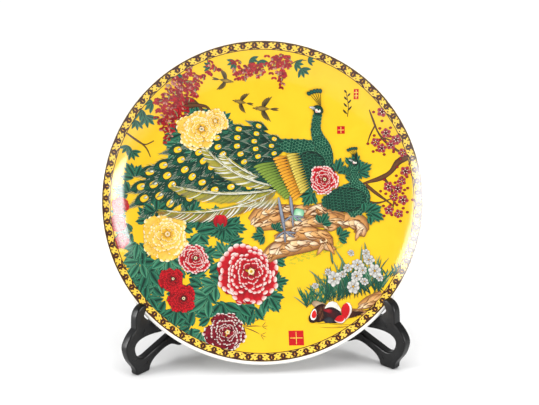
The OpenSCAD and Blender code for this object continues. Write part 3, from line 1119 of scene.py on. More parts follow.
@dataclass
class PeonyGarden:
    """The peonies, their buds and the leaves among them, down the left side."""

    plate: Porcelain

    def paint(self, material: bpy.types.Material) -> None:
        """Paints the leaves, then each flower as its own piece."""
        leaves = Enamel("peony_leaves", self.plate, line_width=0.24)
        sprays = (
            (-60, 66, 30, 17), (-38, 60, 40, 17), (-62, 56, 200, 17), (-66, 48, 235, 15),
            (-48, 66, 110, 13), (-34, 58, 70, 15), (-28, 56, 10, 13), (-52, 44, 250, 13),
            (-85, -8, 90, 15), (-58, -10, 70, 15), (-55, -24, 10, 18), (-60, -34, -10, 16),
            (-42, -14, 200, 16), (-32, -16, -50, 16), (-27, -20, -10, 14), (-36, -14, 150, 14),
            (-96, -36, 215, 18), (-84, -46, 235, 20), (-104, -22, 200, 15), (-108, -8, 170, 13),
            (-106, 8, 160, 13), (-101, 20, 120, 14), (-92, -52, 250, 20), (-76, -42, 270, 20),
            (-62, -60, 20, 18), (-46, -58, -20, 20), (-52, -52, 60, 15), (-34, -32, 60, 15),
            (-28, -34, 20, 13), (8, -48, 30, 13), (8, -66, 10, 12), (-2, -78, -30, 17), (4, -76, -60, 15),
            (-22, -80, -100, 20), (-34, -80, -80, 20), (-44, -76, 215, 20), (-56, -84, 200, 20),
            (-66, -70, 160, 17), (-78, -76, 190, 20), (-86, -66, 160, 18), (-70, -94, 200, 18),
            (-80, -86, 230, 16), (-58, -98, 210, 16), (-50, -102, 240, 13), (-30, -90, -40, 14),
            (-94, -62, 215, 18), (-26, -88, 200, 17), (-98, -46, 235, 17), (-90, -40, 200, 15),
            (-70, -50, 250, 15), (-64, -66, 300, 16), (-84, -56, 280, 17), (-92, -74, 250, 15),
            (-50, -44, 30, 14), (-46, -70, 250, 17), (-38, -66, 215, 17), (-60, -88, 170, 16),
            (-70, -84, 260, 15), (-42, -92, 160, 15), (-100, -30, 260, 15), (-90, -14, 130, 14),
            (-66, -18, 20, 14), (-48, -34, 160, 14), (-30, -44, 120, 14), (-20, -84, -60, 17),
            (-8, -84, 250, 16), (-110, -14, 250, 12))
        for order, (x, y, heading, size) in enumerate(sprays):
            wash = PALE_LEAF if order % 4 == 3 else GREEN_LEAF
            leaf_spray(leaves, (x, y), heading, size, wash, lift=0.02 + 0.012 * (order % 12))
        for order, (x, y, heading, size) in enumerate((
                (60, 21, 72, 13), (66, 19, 28, 11), (77, 23, -8, 9), (73, 23, 165, 7), (43, 8, 200, 14),
                (40, 6, 238, 12))):
            leaf_spray(leaves, (x, y), heading, size, GREEN_LEAF, lift=0.42 + 0.012 * order)
        leaves.fire(material)
        flowers = (
            ("peony_top_yellow", (-50, 57), 17, YELLOW_PEONY),
            ("peony_top_pale", (-38, 64), 11, YELLOW_PEONY),
            ("peony_low_yellow", (-79, -27), 18.5, YELLOW_PEONY),
            ("peony_small_red", (-56, -46), 12.5, RED_PEONY),
            ("peony_great_red", (-13, -59), 23.5, RED_PEONY), ("peony_dark_high", (-74, -62), 10, DARK_PEONY),
            ("peony_dark_low", (-66, -78), 11.5, DARK_PEONY), ("peony_maroon", (-32, -106), 16, MAROON_PEONY),
            ("peony_by_shoulder", (49, 15.5), 12, RED_PEONY), ("peony_rim_high", (-114, -1), 7, DARK_PEONY),
            ("peony_rim_middle", (-116, -16), 7, DARK_PEONY), ("peony_rim_low", (-113, -30), 6, DARK_PEONY))
        for name, middle, radius, petals in flowers:
            flower = Enamel(name, self.plate, line_width=0.2)
            flower.chance.seed(name)
            peony(flower, middle, radius, petals, lift=1.5 if name == "peony_by_shoulder" else 0.35)
            flower.fire(material)
        buds = Enamel("peony_bud", self.plate, line_width=0.24)
        for heading in (215, 260, 320, 350, 190):
            leaf_spray(buds, (-31, -20), heading, 13, lift=0.1)
        bud(buds, (-34, -23), 90, 13, RED_PEONY, lift=1.1)
        buds.fire(material)


@dataclass
class Rocks:
    """The weathered brown rocks and the small jade stone."""

    plate: Porcelain

    def boulder(self, enamel: Enamel, points: Sequence[Point], widths: Sequence[float], lift: float) -> None:
        """Paints a long boulder as overlapping lumps with dark hollows and ribs between them."""
        brown = tone(84, 46, 22)
        ground = Wash(tone(214, 156, 92), tone(196, 136, 74), side=tone(120, 70, 34), line=brown, reach=4)
        spine = enamel.ribbon(points, widths, ground, lift=lift)
        length = path_length(points)
        lumps = max(3, round(length / 4.6))
        for i in range(lumps):
            along = (i + 0.4) / lumps
            here, heading = spine(along * 0.86 + 0.02)
            width = widths[min(int(along * len(widths)), len(widths) - 1)]
            side = width * enamel.chance.uniform(-0.34, 0.34)
            root = turned(turned(here, heading + 90, side), heading + 180, 3)
            heart = enamel.chance.choice((tone(255, 236, 200), tone(252, 222, 172), tone(240, 190, 124)))
            bend = enamel.chance.uniform(-50, 50)
            height = lift + 0.03 + 0.012 * i
            enamel.stroke(root, heading - bend / 2, enamel.chance.uniform(10, 17),
                          width * enamel.chance.uniform(0.5, 0.7),
                          Wash(heart, tone(206, 140, 74), side=tone(104, 54, 22), line=brown, reach=3),
                          bend=bend, full=0.6, lobes=0.08, lift=height)
            for _ in range(3):
                spot = turned(turned(here, heading + 90, side + width * enamel.chance.uniform(-0.24, 0.24)),
                              heading, enamel.chance.uniform(-4, 4))
                enamel.stroke(spot, heading + enamel.chance.uniform(-25, 25), enamel.chance.uniform(4, 9),
                              enamel.chance.uniform(0.5, 1.2), unlined(tone(60, 30, 14), tone(150, 92, 46)),
                              bend=enamel.chance.uniform(-60, 60), lift=height + 0.008)

    def paint(self, material: bpy.types.Material) -> None:
        """Paints the rocks, the jade stone and the moss, then the leaves and grass beside them."""
        enamel = Enamel("brown_rocks", self.plate)
        self.boulder(enamel, ((-9, -17), (0, -10), (12, -7), (30, -8), (50, -9), (66, -13)),
                     (9, 14, 9, 9, 8, 5), 0.04)
        self.boulder(enamel, ((-6, -21), (8, -17), (24, -16), (44, -15), (60, -17), (70, -19)),
                     (7, 13, 14, 14, 13, 8), 0.2)
        self.boulder(enamel, ((66, -15), (75, -17), (80, -22), (76, -28)), (10, 14, 13, 6), 0.42)
        self.boulder(enamel, ((1, -47), (10, -40), (24, -36), (40, -33), (50, -32)), (9, 14, 16, 15, 10), 0.5)
        self.boulder(enamel, ((10, -31), (24, -27), (40, -27), (52, -33), (48, -39)), (7, 11, 11, 11, 6),
                     0.66)
        self.boulder(enamel, ((50, -3), (44, -7), (54, -9)), (3, 7, 4), 0.7)
        enamel.blob((29, -11), 10, 9, Wash(tone(206, 236, 206), tone(110, 186, 140)), wobble=0.16, lift=0.9)
        for i in range(70):
            spot = (22 + 0.62 * i + enamel.chance.uniform(-2, 2),
                    -49 + 0.2 * i + enamel.chance.uniform(-2.5, 2.5))
            enamel.blob(spot, 2.2, 1.3, unlined(tone(214, 196, 40), tone(190, 182, 46)),
                        lift=0.02 + 0.001 * i)
        enamel.fire(material)
        tufts = Enamel("rock_leaves", self.plate, line_width=0.22)
        for x, y, heading, size in ((2, -27, 190, 11), (10, -24, 60, 8), (47, -20, 60, 11), (60, -30, 20, 11),
                                    (82, -12, 40, 13), (86, -10, -30, 13), (78, 22, 30, 12),
                                    (74, 26, 75, 12)):
            leaf_spray(tufts, (x, y), heading, size, lift=0.8)
        for i in range(26):
            tufts.stroke((24 + i * 1.3 + tufts.chance.uniform(-1, 1), -45 + 0.25 * i),
                         tufts.chance.uniform(30, 150), tufts.chance.uniform(2, 4), 0.5,
                         unlined(tone(150, 170, 40), tone(176, 190, 60)))
        tufts.fire(material)


@dataclass
class Wisteria:
    """The red hanging racemes along the top and upper left, their wood and their leaves."""

    plate: Porcelain

    def raceme(self, enamel: Enamel, top: Point, heading: float, length: float, width: float) -> None:
        """Paints one hanging cluster that narrows towards its tip."""
        count = round(length * width / 10)
        for i in range(count):
            along = math.sqrt(enamel.chance.random())
            along = 1 - along
            side = enamel.chance.uniform(-0.5, 0.5) * width * (1 - along) ** 0.7
            spot = turned(turned(top, heading, along * length), heading + 90, side)
            first = enamel.chance.choice((tone(170, 12, 24), tone(150, 12, 26), WINE, tone(120, 10, 20)))
            tips = (tone(176, 18, 30), tone(190, 20, 30), tone(140, 10, 22), tone(200, 44, 48),
                    tone(226, 160, 140))
            wash = Wash(first, enamel.chance.choice(tips), line=tone(84, 12, 16))
            for spread in (-42, 42):
                enamel.stroke(spot, heading + spread + enamel.chance.uniform(-40, 40), 2.9, 1.9, wash,
                              full=0.6, lift=0.1 + 0.002 * i)
            if i % 9 == 0:
                enamel.stroke(spot, heading + enamel.chance.uniform(-60, 60), 3.6, 0.7,
                              unlined(OLIVE, MIST), lift=0.12 + 0.002 * i)

    def paint(self, material: bpy.types.Material) -> None:
        """Paints the wood, the leaves and the racemes."""
        wood = Enamel("wisteria_wood", self.plate)
        twig(wood, ((-68, 78), (-58, 81), (-50, 76), (-45, 68)), 6.5, 4.5, lift=0.1)
        twig(wood, ((-66, 76), (-56, 78), (-44, 77), (-40, 72)), 3.4, 1.6, lift=0.16)
        twig(wood, ((-107, 56), (-99, 50), (-93, 47), (-86, 50)), 1.5, 0.8)
        twig(wood, ((-97, 49), (-92, 44), (-89, 37)), 1.1, 0.6)
        twig(wood, ((24, 109), (30, 112), (37, 112)), 0.8, 0.4)
        wood.fire(material)
        leaves = Enamel("wisteria_leaves", self.plate, line_width=0.22)
        stems = ((-62, 100, 200, 7), (-40, 108, 160, 6), (-20, 112, 215, 7), (-8, 114, -40, 7),
                 (0, 113, -70, 7),
                 (28, 110, -30, 7), (33, 106, -60, 8), (38, 112, 0, 6), (-86, 80, 200, 9), (-94, 74, 230, 9),
                 (-92, 70, -70, 10), (-97, 74, 190, 9), (-99, 66, 250, 8), (-106, 46, 240, 8),
                 (-104, 42, -60, 8))
        for x, y, heading, size in stems:
            for spread in (-50, -16, 18, 50):
                leaves.stroke((x, y), heading + spread, size, size * 0.36, GREEN_LEAF, bend=8, belly=0.45,
                              lift=0.04 + 0.0008 * (spread + 60))
        leaves.fire(material)
        racemes = (("wisteria_left", ((-60, 98, -120, 40, 30), (-74, 84, -95, 36, 26),
                                      (-62, 84, -100, 22, 18))),
                   ("wisteria_upper", ((-50, 106, -125, 34, 18), (-36, 111, -120, 12, 12))),
                   ("wisteria_crown", ((-12, 113, -105, 18, 22), (-2, 112, -80, 16, 14))),
                   ("wisteria_hanging", ((14, 117, -88, 31, 18), (20, 114, -80, 10, 10))))
        for name, clusters in racemes:
            enamel = Enamel(name, self.plate, line_width=0.16)
            enamel.chance.seed(name)
            for x, y, heading, length, width in clusters:
                self.raceme(enamel, (x, y), heading, length, width)
            enamel.fire(material)


@dataclass
class PlumBranch:
    """The plum branch that comes in from the right, with its blossoms."""

    plate: Porcelain

    def paint(self, material: bpy.types.Material) -> None:
        """Paints the branch, its twigs and its blossoms."""
        enamel = Enamel("plum_branch", self.plate, line_width=0.2)
        twig(enamel, ((119, 34), (110, 30), (104, 22), (96, 17), (86, 14), (80, 12)), 4.6, 1.8)
        twig(enamel, ((84, 12), (92, 5), (100, -1), (106, -6)), 2.6, 1.0)
        twig(enamel, ((82, 0), (90, -3), (98, -2), (108, 2)), 2.0, 0.8)
        twig(enamel, ((98, 18), (104, 8), (106, 0), (105, -8)), 2.0, 0.8)
        twig(enamel, ((110, 38), (100, 46), (94, 54), (90, 64), (87, 72)), 1.8, 0.8)
        twig(enamel, ((97, 50), (104, 47), (110, 45)), 1.1, 0.6)
        twig(enamel, ((92, 60), (88, 52), (86, 46)), 1.1, 0.6)
        petal = Wash(tone(92, 10, 22), tone(186, 40, 52), side=tone(206, 140, 140), line=tone(64, 20, 18),
                     reach=4)
        spots = ((97, 70), (100, 53), (92, 46), (108, 47.5), (104, 43.5), (113, 37), (102, 10), (109, 8),
                 (112, 14), (113, -1), (102, -9), (109.5, -12), (115, 22), (97, 41), (106, 2))
        for i, spot in enumerate(spots):
            for k in range(4):
                near = turned(spot, 50 * i + 90 * k, 5.4 + 0.6 * k)
                enamel.blob(near, 2.4, 2.1, Wash(tone(190, 30, 44), tone(90, 10, 20)), lift=0.13)
            blossom(enamel, spot, 4.3 - 0.3 * (i % 3), 23 * i, petal, lift=0.16 + 0.03 * (i % 3))
            enamel.blob(spot, 2.2, 2.2, unlined(tone(60, 14, 20), tone(90, 20, 28)), lift=0.3)
        enamel.fire(material)


@dataclass
class Marsh:
    """The irises and grass at the lower right, the two ducks, the water and the bare twigs."""

    plate: Porcelain

    def ducks(self, enamel: Enamel) -> None:
        """Paints the two resting ducks side by side, the nearer one's wing sails raised."""
        umber, night = tone(76, 36, 22), tone(34, 14, 10)
        enamel.blob((44, -84.2), 11, 6, Wash(tone(200, 180, 150), tone(160, 130, 100)), turn=-12,
                    wobble=0.1, lift=0.48)
        enamel.blob((44.4, -91), 12.5, 15.5, Wash(umber, night), turn=-14, wobble=0.09, lift=0.52)
        enamel.blob((39.6, -94.4), 8, 8.4, Wash(umber, night), wobble=0.07, lift=0.55)
        enamel.stroke((38.6, -96.4), 76, 9.4, 5.2, Wash(CHALK, CHALK), belly=0.4, full=0.5, lift=0.58)
        enamel.stroke((39.4, -94.8), 78, 6.4, 3.9, unlined(tone(206, 20, 28), tone(214, 40, 40)),
                      belly=0.4, full=0.5, lift=0.61)
        for i in range(12):
            enamel.stroke((44 + 0.8 * (i % 6), -97 + 1.9 * (i // 2)), 66 + 9 * (i % 5), 4.4, 0.6,
                          unlined(tone(124, 76, 50), night), lift=0.6)
        enamel.ribbon([(49, -87.5), (53, -84.4), (57, -84.6), (61.4, -89.4)], [1.4, 5, 5, 1.4],
                      Wash(tone(238, 236, 226), tone(226, 222, 208), line=tone(176, 140, 36)), lift=0.62)
        enamel.blob((54.6, -92.4), 13.5, 13, Wash(tone(66, 20, 24), tone(30, 22, 26)), wobble=0.07, lift=0.66)
        enamel.blob((51.4, -89), 6.6, 4, unlined(tone(168, 22, 36), tone(96, 14, 22)), wobble=0.2, lift=0.7)
        enamel.blob((51.4, -96.4), 7, 5.4, unlined(tone(58, 60, 66), tone(36, 36, 42)), wobble=0.1,
                    lift=0.7)
        enamel.stroke((62, -92.6), 4, 17, 5.4, Wash(umber, night), belly=0.3, bend=8, lift=0.71)
        crimson = unlined(tone(190, 10, 20), tone(206, 22, 30))
        for root, heading, length, width, height in (((64, -96.6), 76, 14.4, 8.4, 0.76),
                                                     ((56, -96.8), 12, 8.6, 6.6, 0.8)):
            enamel.stroke(root, heading, length, width, Wash(tone(226, 180, 170), CHALK), belly=0.6,
                          full=0.5, lift=height)
            enamel.stroke(turned(root, heading + 40, 0.6), heading + 3, length * 0.92, width * 0.78,
                          crimson, belly=0.58, full=0.5, lift=height + 0.03)

    def paint(self, material: bpy.types.Material) -> None:
        """Paints the water, the grass, the flowers, the ducks and the twigs."""
        water = Enamel("water_and_bank", self.plate, line_width=0.18)
        for i in range(9):
            water.stroke((34 + 3 * i, -95 - (i % 4) * 2.2), -8 + 5 * (i % 3), 26 - i, 0.55,
                         unlined(tone(120, 96, 20), tone(176, 140, 30)), bend=16, lift=0.02)
        rocks = Rocks(self.plate)
        rocks.boulder(water, ((76, -86), (84, -82), (94, -76)), (5, 9, 6), 0.5)
        rocks.boulder(water, ((62, -90), (74, -90), (86, -92)), (4, 5, 2), 0.3)
        water.fire(material)
        grass = Enamel("marsh_grass", self.plate, line_width=0.16)
        for i in range(14):
            grass.stroke((50 + 3.2 * i, -84 + 0.6 * i), 96 + grass.chance.uniform(-16, 16), 30, 1.7,
                         Wash(PINE, LEAF), bend=grass.chance.uniform(-20, 20), lift=0.4 + 0.004 * i)
        for i in range(230):
            x = 33 + 63 * grass.chance.random()
            y = -82 + 0.2 * (x - 40) + grass.chance.uniform(-4, 4)
            tall = grass.chance.uniform(10, 27) * (1.0 if 50 < x < 92 else 0.55)
            wash = unlined(PINE, grass.chance.choice((LEAF, MIST, tone(60, 128, 76))))
            grass.stroke((x, y), 92 + grass.chance.uniform(-42, 42), tall, 0.95, wash,
                         bend=grass.chance.uniform(-40, 40), full=0.6, lift=0.05 + 0.0015 * i)
        for i in range(14):
            grass.stroke((94 + 1.1 * i, -66 + 0.5 * i), 80 + grass.chance.uniform(-40, 40), 9, 1.3,
                         Wash(PINE, LEAF), lift=0.1 + 0.01 * i)
        grass.fire(material)
        irises = Enamel("white_irises", self.plate, line_width=0.2)
        petal = Wash(tone(150, 146, 140), tone(226, 226, 220), side=tone(166, 162, 158),
                     line=tone(84, 76, 74), reach=3)
        for i, (x, y, size) in enumerate(((57, -63.6, 6.4), (83, -43.4, 3.8), (71, -43, 3),
                                          (76, -52.5, 5.4), (68, -55, 4),
                                          (75, -61.6, 5.2), (72, -70, 6), (89.4, -57.6, 6), (85, -48.6, 5),
                                          (41.6, -69, 3),
                                          (64, -60, 3.4), (80, -57, 4), (52, -58, 3), (93, -63, 3.4),
                                          (81, -66, 3.6))):
            for k in range(7):
                irises.stroke((x, y), 31 * i + 52 * k, size * (0.86 + 0.08 * (k % 3)), size * 0.7, petal,
                              belly=0.68, full=0.8, lift=0.46 + 0.02 * (i % 4) + 0.004 * k)
            for k in range(5):
                irises.stroke((x, y), 40 * i + 72 * k, size * 0.5, size * 0.36, petal, belly=0.7,
                              lift=0.56 + 0.004 * k)
            irises.blob((x, y), size * 0.34, size * 0.34, Wash(HONEY, tone(150, 120, 30)), lift=0.62)
        for x, y, heading, length in ((60, -72, 84, 26), (66, -76, 104, 30), (78, -66, 88, 30),
                                      (87, -70, 80, 26),
                                      (71, -66, 108, 30), (52, -74, 118, 24), (56, -52, 96, 13),
                                      (84, -48, 96, 14)):
            irises.stroke((x, y), heading, length, 1.8, Wash(PINE, tone(120, 160, 120)), bend=heading - 92,
                          belly=0.4, lift=0.44)
        irises.fire(material)
        ducks = Enamel("two_ducks", self.plate, line_width=0.24)
        self.ducks(ducks)
        ducks.fire(material)
        bare = Enamel("bare_twigs", self.plate, line_width=0.12)
        for heading in (12, 34, 56, 78, -14):
            tip = bare.stroke((-17, -101), heading, 15, 0.8, unlined(BARK, BARK), bend=-20)
            for spread in (-50, -15, 30):
                bare.stroke(tip, heading + spread, 5, 0.5, unlined(BARK, BARK), bend=14)
        bare.fire(material)


@dataclass
class Sky:
    """The three small birds."""

    plate: Porcelain

    def bird(self, enamel: Enamel, middle: Point, heading: float, size: float) -> None:
        """Paints a flying bird with both wings raised."""
        body = Wash(tone(120, 96, 40), tone(176, 146, 60), side=tone(66, 52, 30))
        dark = Wash(tone(52, 44, 32), tone(130, 108, 52), side=tone(40, 32, 24))
        tail = turned(middle, heading + 180, 4.6 * size)
        for spread in (-7, 7):
            enamel.stroke(tail, heading + 180 + spread, 7.5 * size, 1.6 * size, dark, lift=0.05)
        for side in (-1, 1):
            root = turned(middle, heading, 0.8 * size)
            for i in range(5):
                enamel.stroke(root, heading + side * (112 - 9 * i), (12.5 - 1.5 * i) * size, 2.1 * size, dark,
                              bend=side * 22, lift=0.08 + 0.02 * i)
        enamel.stroke(tail, heading, 11 * size, 4.4 * size, body, belly=0.62, full=0.7, lift=0.22)
        head = turned(middle, heading, 6 * size)
        enamel.blob(head, 3.6 * size, 3 * size, body, lift=0.28)
        enamel.stroke(turned(head, heading, 1.3 * size), heading, 2.4 * size, 1 * size, Wash(SOOT, SOOT),
                      lift=0.26)
        enamel.blob(turned(head, heading + 60, 0.6 * size), 0.6, 0.6, unlined(SOOT, SOOT), lift=0.34)

    def paint(self, material: bpy.types.Material) -> None:
        """Paints the birds."""
        enamel = Enamel("small_birds", self.plate, line_width=0.16)
        self.bird(enamel, (-29, 97.5), -10, 0.82)
        self.bird(enamel, (-15, 80), 168, 0.8)
        self.bird(enamel, (3, 74.5), 176, 0.98)
        enamel.fire(material)


@dataclass
class Marks:
    """Plain red rectangles divided by pale bars, and a small spray in ink."""

    plate: Porcelain

    def square(self, enamel: Enamel, middle: Point, wide: float, high: float, bars: int) -> None:
        """Paints a red rectangle with one pale bar up it and a number of them across it."""
        red = unlined(tone(196, 16, 20), tone(196, 16, 20))
        x, y = middle
        enamel.ribbon([(x - wide / 2, y), (x, y), (x + wide / 2, y)], [high] * 3, red, lift=0.02)
        pale = unlined(tone(252, 222, 90), tone(252, 222, 90))
        for i in range(bars):
            share = (i + 1) / (bars + 1) - 0.5
            enamel.ribbon([(x - wide * 0.42, y + share * high), (x + wide * 0.42, y + share * high)],
                          [0.5] * 2, pale, lift=0.1)
        enamel.ribbon([(x, y - high * 0.42), (x, y + high * 0.42)], [0.5] * 2, pale, lift=0.12)

    def paint(self, material: bpy.types.Material) -> None:
        """Paints the squares and the ink spray."""
        enamel = Enamel("red_squares", self.plate)
        self.square(enamel, (25, -110), 12, 11.4, 1)
        self.square(enamel, (64.6, 56.4), 6.2, 6.2, 1)
        self.square(enamel, (76.6, 84.6), 3.8, 8, 2)
        enamel.fire(material)
        spray = Enamel("ink_spray", self.plate, line_width=0.15)
        ink = unlined(tone(70, 62, 20), tone(40, 36, 18))
        spray.ribbon([(70, 67), (70.6, 76), (68.4, 88)], [0.7, 0.6, 0.4], ink)
        for i in range(7):
            side = 1 if i % 2 else -1
            spray.stroke((69.9 + 0.1 * i - 0.03 * i * i, 69 + 2.8 * i), 90 - 52 * side, 5.4 - 0.35 * i, 1.5,
                         ink, bend=20 * side, lift=0.04)
        spray.fire(material)


@dataclass
class Decoration:
    """All the painted pieces, in the order in which they are laid."""

    plate: Porcelain

    def great_peacock(self) -> Peacock:
        """Gives the bird that stands on the rock."""
        neck = ((46.4, 71), (45.2, 65), (44.4, 57), (46.4, 49.4), (49.6, 42.6), (50.4, 34), (47.6, 24),
                (43, 15), (37, 10))
        back = ((45, 38), (37, 41.4), (27, 43.6), (17, 44.8), (11, 44.6))
        return Peacock(self.plate, "great_peacock", (46.4, 72.8), 1.0, neck,
                       (6.4, 7, 8.2, 10.6, 13, 15.6, 17, 13, 4),
                       back, (17, 15, 12, 10, 8), (39.4, 27.4), (24.5, 25))

    def small_peacock(self) -> Peacock:
        """Gives the bird that rests behind the flower."""
        neck = ((75.6, 29), (75, 22), (75, 15), (78.4, 9), (80.6, 2), (78, -6), (72, -11))
        back = ((82, 4), (76, 7), (66, 6), (57, 3.4))
        return Peacock(self.plate, "small_peacock", (75.4, 30.4), 0.72, neck, (5, 6.4, 7.6, 11, 14, 13, 5),
                       back, (10, 15, 11, 5), (67.4, 0), (33, 20))

    def build(self) -> None:
        """Paints every motif."""
        enamel = Enamelled().material()
        motifs = (Border(self.plate), Wisteria(self.plate), Sky(self.plate), Marks(self.plate),
                  PlumBranch(self.plate), PeonyGarden(self.plate), Train(self.plate), Rocks(self.plate),
                  Plumes(self.plate), Wing(self.plate), self.great_peacock(), self.small_peacock(),
                  Marsh(self.plate))
        for motif in motifs:
            motif.paint(enamel)


# ---------------------------------------------------------------- the stand

@dataclass
class Bracket:
    """One moulded bracket of the stand, its outline rounded as the mould's edges are."""

    node: str
    body: Body
    side: int
    round_over: float = 1.3
    steps: int = 5
    shortest: float = 0.42
    half_angle: float = math.radians(45)
    hinge_reach: float = 6.5
    sharp: float = math.radians(60)
    dot_edge: float = 0.7
    dot_face: float = 0.3

    def outline(self, mesh: bmesh.types.BMesh) -> list[bmesh.types.BMEdge]:
        """Finds the edges round the two flat faces, beyond the hinge and outside the moulded dot."""
        low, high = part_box("lower_hinge_pin")
        axis = (low + high) / 2 / MM
        across = Vector((self.side * math.sin(self.half_angle), math.cos(self.half_angle), 0))
        along = Vector((self.side * math.cos(self.half_angle), -math.sin(self.half_angle), 0))
        found = []
        for edge in mesh.edges:
            if len(edge.link_faces) != 2 or edge.calc_face_angle(0) < self.sharp:
                continue
            flat = [abs(face.normal.dot(across)) for face in edge.link_faces]
            middle = (edge.verts[0].co + edge.verts[1].co) / 2
            clear = (middle - axis).dot(along) > self.hinge_reach
            least = min(face.calc_area() for face in edge.link_faces)
            marked = edge.calc_length() < self.dot_edge and least < self.dot_face
            if max(flat) > 0.99 and min(flat) < 0.05 and clear and not marked:
                found.append(edge)
        return found

    def build(self, plastic: bpy.types.Material) -> bpy.types.Object:
        """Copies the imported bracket, rounds the edges of its flat faces, and dresses it."""
        mesh = bmesh.new()
        mesh.from_mesh(bpy.data.objects[self.node].data)
        mesh.transform(Matrix.Scale(1 / MM, 4))
        bmesh.ops.remove_doubles(mesh, verts=mesh.verts, dist=0.002)
        bmesh.ops.dissolve_limit(mesh, angle_limit=math.radians(0.5), verts=mesh.verts, edges=mesh.edges)
        short = [edge for edge in self.outline(mesh) if edge.calc_length() < self.shortest]
        bmesh.ops.collapse(mesh, edges=short, uvs=False)
        rounded = self.outline(mesh)
        bmesh.ops.bevel(mesh, geom=rounded, offset=self.round_over, offset_type="OFFSET", affect="EDGES",
                        segments=self.steps, profile=0.5, material=-1, clamp_overlap=False, loop_slide=False)
        for face in mesh.faces:
            face.smooth = True
        for edge in mesh.edges:
            edge.smooth = edge.calc_face_angle(0) < math.radians(32)
        mesh.transform(Matrix.Scale(MM, 4))
        piece = finished(self.node.replace("frame", "bracket"), mesh, [plastic], self.body)
        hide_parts(self.node)
        return piece


@dataclass
class HingePin:
    """A turned steel pin with a domed head and a chamfered foot."""

    node: str
    radius: float = 1.5
    head_radius: float = 2.5
    head: float = 1.0
    chamfer: float = 0.3
    turns: int = 48

    def build(self, steel: bpy.types.Material) -> bpy.types.Object:
        """Spins the pin's section about the hinge axis."""
        low, high = (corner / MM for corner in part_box(self.node))
        seat = high.z - self.head
        section = [(0, low.z), (self.radius - self.chamfer, low.z), (self.radius, low.z + self.chamfer),
                   (self.radius, seat)]
        section += [(self.head_radius, seat), (self.head_radius, seat + self.head * 0.35)]
        section += [(self.head_radius * math.cos(a), seat + self.head * (0.35 + 0.65 * math.sin(a)))
                    for a in (0.3, 0.6, 0.9, 1.2)]
        section.append((0, high.z))
        mesh = spun(section, self.turns)
        for edge in mesh.edges:
            edge.smooth = edge.calc_face_angle(0) < math.radians(35)
        mesh.transform(Matrix.Scale(MM, 4) @ Matrix.Translation(((low.x + high.x) / 2, (low.y + high.y) / 2,
                                                                 0)))
        piece = finished(self.node.replace("_hinge", ""), mesh, [steel], Body.HINGE)
        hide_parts(self.node)
        return piece


# ---------------------------------------------------------------- the studio

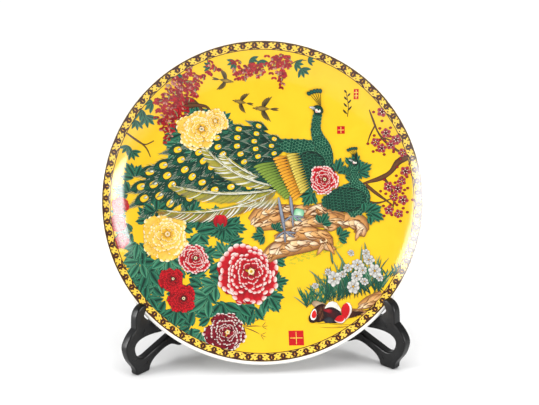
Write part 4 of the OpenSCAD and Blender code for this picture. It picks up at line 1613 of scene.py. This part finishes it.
@dataclass
class Studio:
    """The pale floor, the soft lights and the camera."""

    plate: Porcelain
    azimuth: float = math.radians(-3)
    elevation: float = math.radians(20)
    distance: float = 1.188
    lens: float = 100.0
    beside: float = 5.0
    below: float = 1.0
    surround: float = 0.42
    backdrop: float = 1.0
    overhead: float = 2.2

    def build(self) -> None:
        """Makes the floor, the world, the lights and the camera."""
        self.lay_floor()
        self.light()
        self.aim_camera()

    def lay_floor(self) -> None:
        """Lays a wide white paper floor."""
        mesh = bmesh.new()
        bmesh.ops.create_grid(mesh, x_segments=8, y_segments=8, size=6)
        data = bpy.data.meshes.new("paper_floor")
        mesh.to_mesh(data)
        mesh.free()
        recipe = Recipe("white_paper")
        recipe.feed("Base Color", recipe.blend(recipe.spread(recipe.noise(3, 3), 0, 1),
                                               tone(246, 246, 246), tone(243, 243, 243)))
        recipe.fix(Roughness=0.9)
        recipe.shader.inputs["Specular IOR Level"].default_value = 0.1
        data.materials.append(recipe.material)
        floor = bpy.data.objects.new("paper_floor", data)
        bpy.context.scene.collection.objects.link(floor)

    def softbox(self, name: str, turn: float, tilt: float, size: Point, radiance: float, reach: float,
                sheen: bool = False) -> None:
        """Hangs a softbox that looks at the plate.

        Args:
            name: the light's name.
            turn: degrees to the right of the plate's own axis, as the camera sees it.
            tilt: degrees above the plane through that axis and the plate's level diameter.
            size: width and height in metres.
            radiance: brightness of its face.
            reach: distance from the plate's middle, in metres.
            sheen: whether it shows in reflections only.
        """
        axes = self.plate.place.to_3x3().normalized()
        turn, tilt = math.radians(turn), math.radians(tilt)
        aim = axes @ Vector((math.sin(turn) * math.cos(tilt), math.sin(tilt),
                             math.cos(turn) * math.cos(tilt)))
        data = bpy.data.lights.new(name, "AREA")
        data.shape = "RECTANGLE"
        data.size, data.size_y = size
        data.energy = radiance * math.pi * size[0] * size[1]
        light = bpy.data.objects.new(name, data)
        light.location = self.middle() + aim * reach
        light.rotation_mode = "QUATERNION"
        light.rotation_quaternion = aim.to_track_quat("Z", "Y")
        light.visible_diffuse = not sheen
        bpy.context.scene.collection.objects.link(light)

    def middle(self) -> Vector:
        """Gives the middle of the plate's rim plane."""
        return self.plate.place @ Vector((0, 0, self.plate.height))

    def light(self) -> None:
        """Sets a bright surround, a softbox and a sheen card on each side, and a silk overhead."""
        world = bpy.data.worlds.new("white_studio")
        world.use_nodes = True
        tree = world.node_tree
        back = tree.nodes["Background"]
        back.inputs["Color"].default_value = (1, 1, 1, 1)
        path = tree.nodes.new("ShaderNodeLightPath")
        glow = tree.nodes.new("ShaderNodeMapRange")
        glow.inputs["To Min"].default_value = self.surround
        glow.inputs["To Max"].default_value = self.backdrop
        tree.links.new(path.outputs["Is Camera Ray"], glow.inputs["Value"])
        tree.links.new(glow.outputs["Result"], back.inputs["Strength"])
        bpy.context.scene.world = world
        self.softbox("right_softbox", 53, 0, (0.34, 0.55), 11, 1.2)
        self.softbox("left_softbox", -68, 6, (0.3, 0.8), 9, 1.2)
        self.softbox("right_card", 55, 1, (0.42, 0.5), 9, 1.15, sheen=True)
        self.softbox("left_card", -70, 6, (0.56, 1.0), 10, 1.15, sheen=True)
        data = bpy.data.lights.new("overhead_silk", "SUN")
        data.energy = self.overhead
        data.angle = math.radians(75)
        silk = bpy.data.objects.new("overhead_silk", data)
        silk.location = (0, 0, 2)
        silk.visible_glossy = False
        bpy.context.scene.collection.objects.link(silk)

    def aim_camera(self) -> None:
        """Points the camera a little to the right of the plate's middle, from above and from the left."""
        back = Vector((math.sin(self.azimuth) * math.cos(self.elevation),
                       -math.cos(self.azimuth) * math.cos(self.elevation), math.sin(self.elevation)))
        turn = back.to_track_quat("Z", "Y")
        target = self.middle() + turn @ Vector((self.beside * MM, -self.below * MM, 0))
        data = bpy.data.cameras.new("camera")
        data.lens = self.lens
        data.sensor_width = 36.0
        camera = bpy.data.objects.new("camera", data)
        camera.location = target + back * self.distance
        camera.rotation_mode = "QUATERNION"
        camera.rotation_quaternion = turn
        bpy.context.scene.collection.objects.link(camera)
        scene = bpy.context.scene
        scene.camera = camera
        scene.view_settings.view_transform = "Standard"


def main() -> None:
    """Builds the plate, its decoration, the stand and the studio."""
    logging.basicConfig(level=logging.INFO, format="%(name)s: %(message)s")
    plate = Porcelain()
    plate.build()
    Decoration(plate).build()
    plastic = BlackMoulding().material()
    Bracket("left_frame", Body.LEFT, -1).build(plastic)
    Bracket("right_frame", Body.RIGHT, 1).build(plastic)
    steel = DrawnSteel().material()
    for node in ("lower_hinge_pin", "upper_hinge_pin"):
        HingePin(node).build(steel)
    Studio(plate).build()


if __name__ == "__main__":
    main()
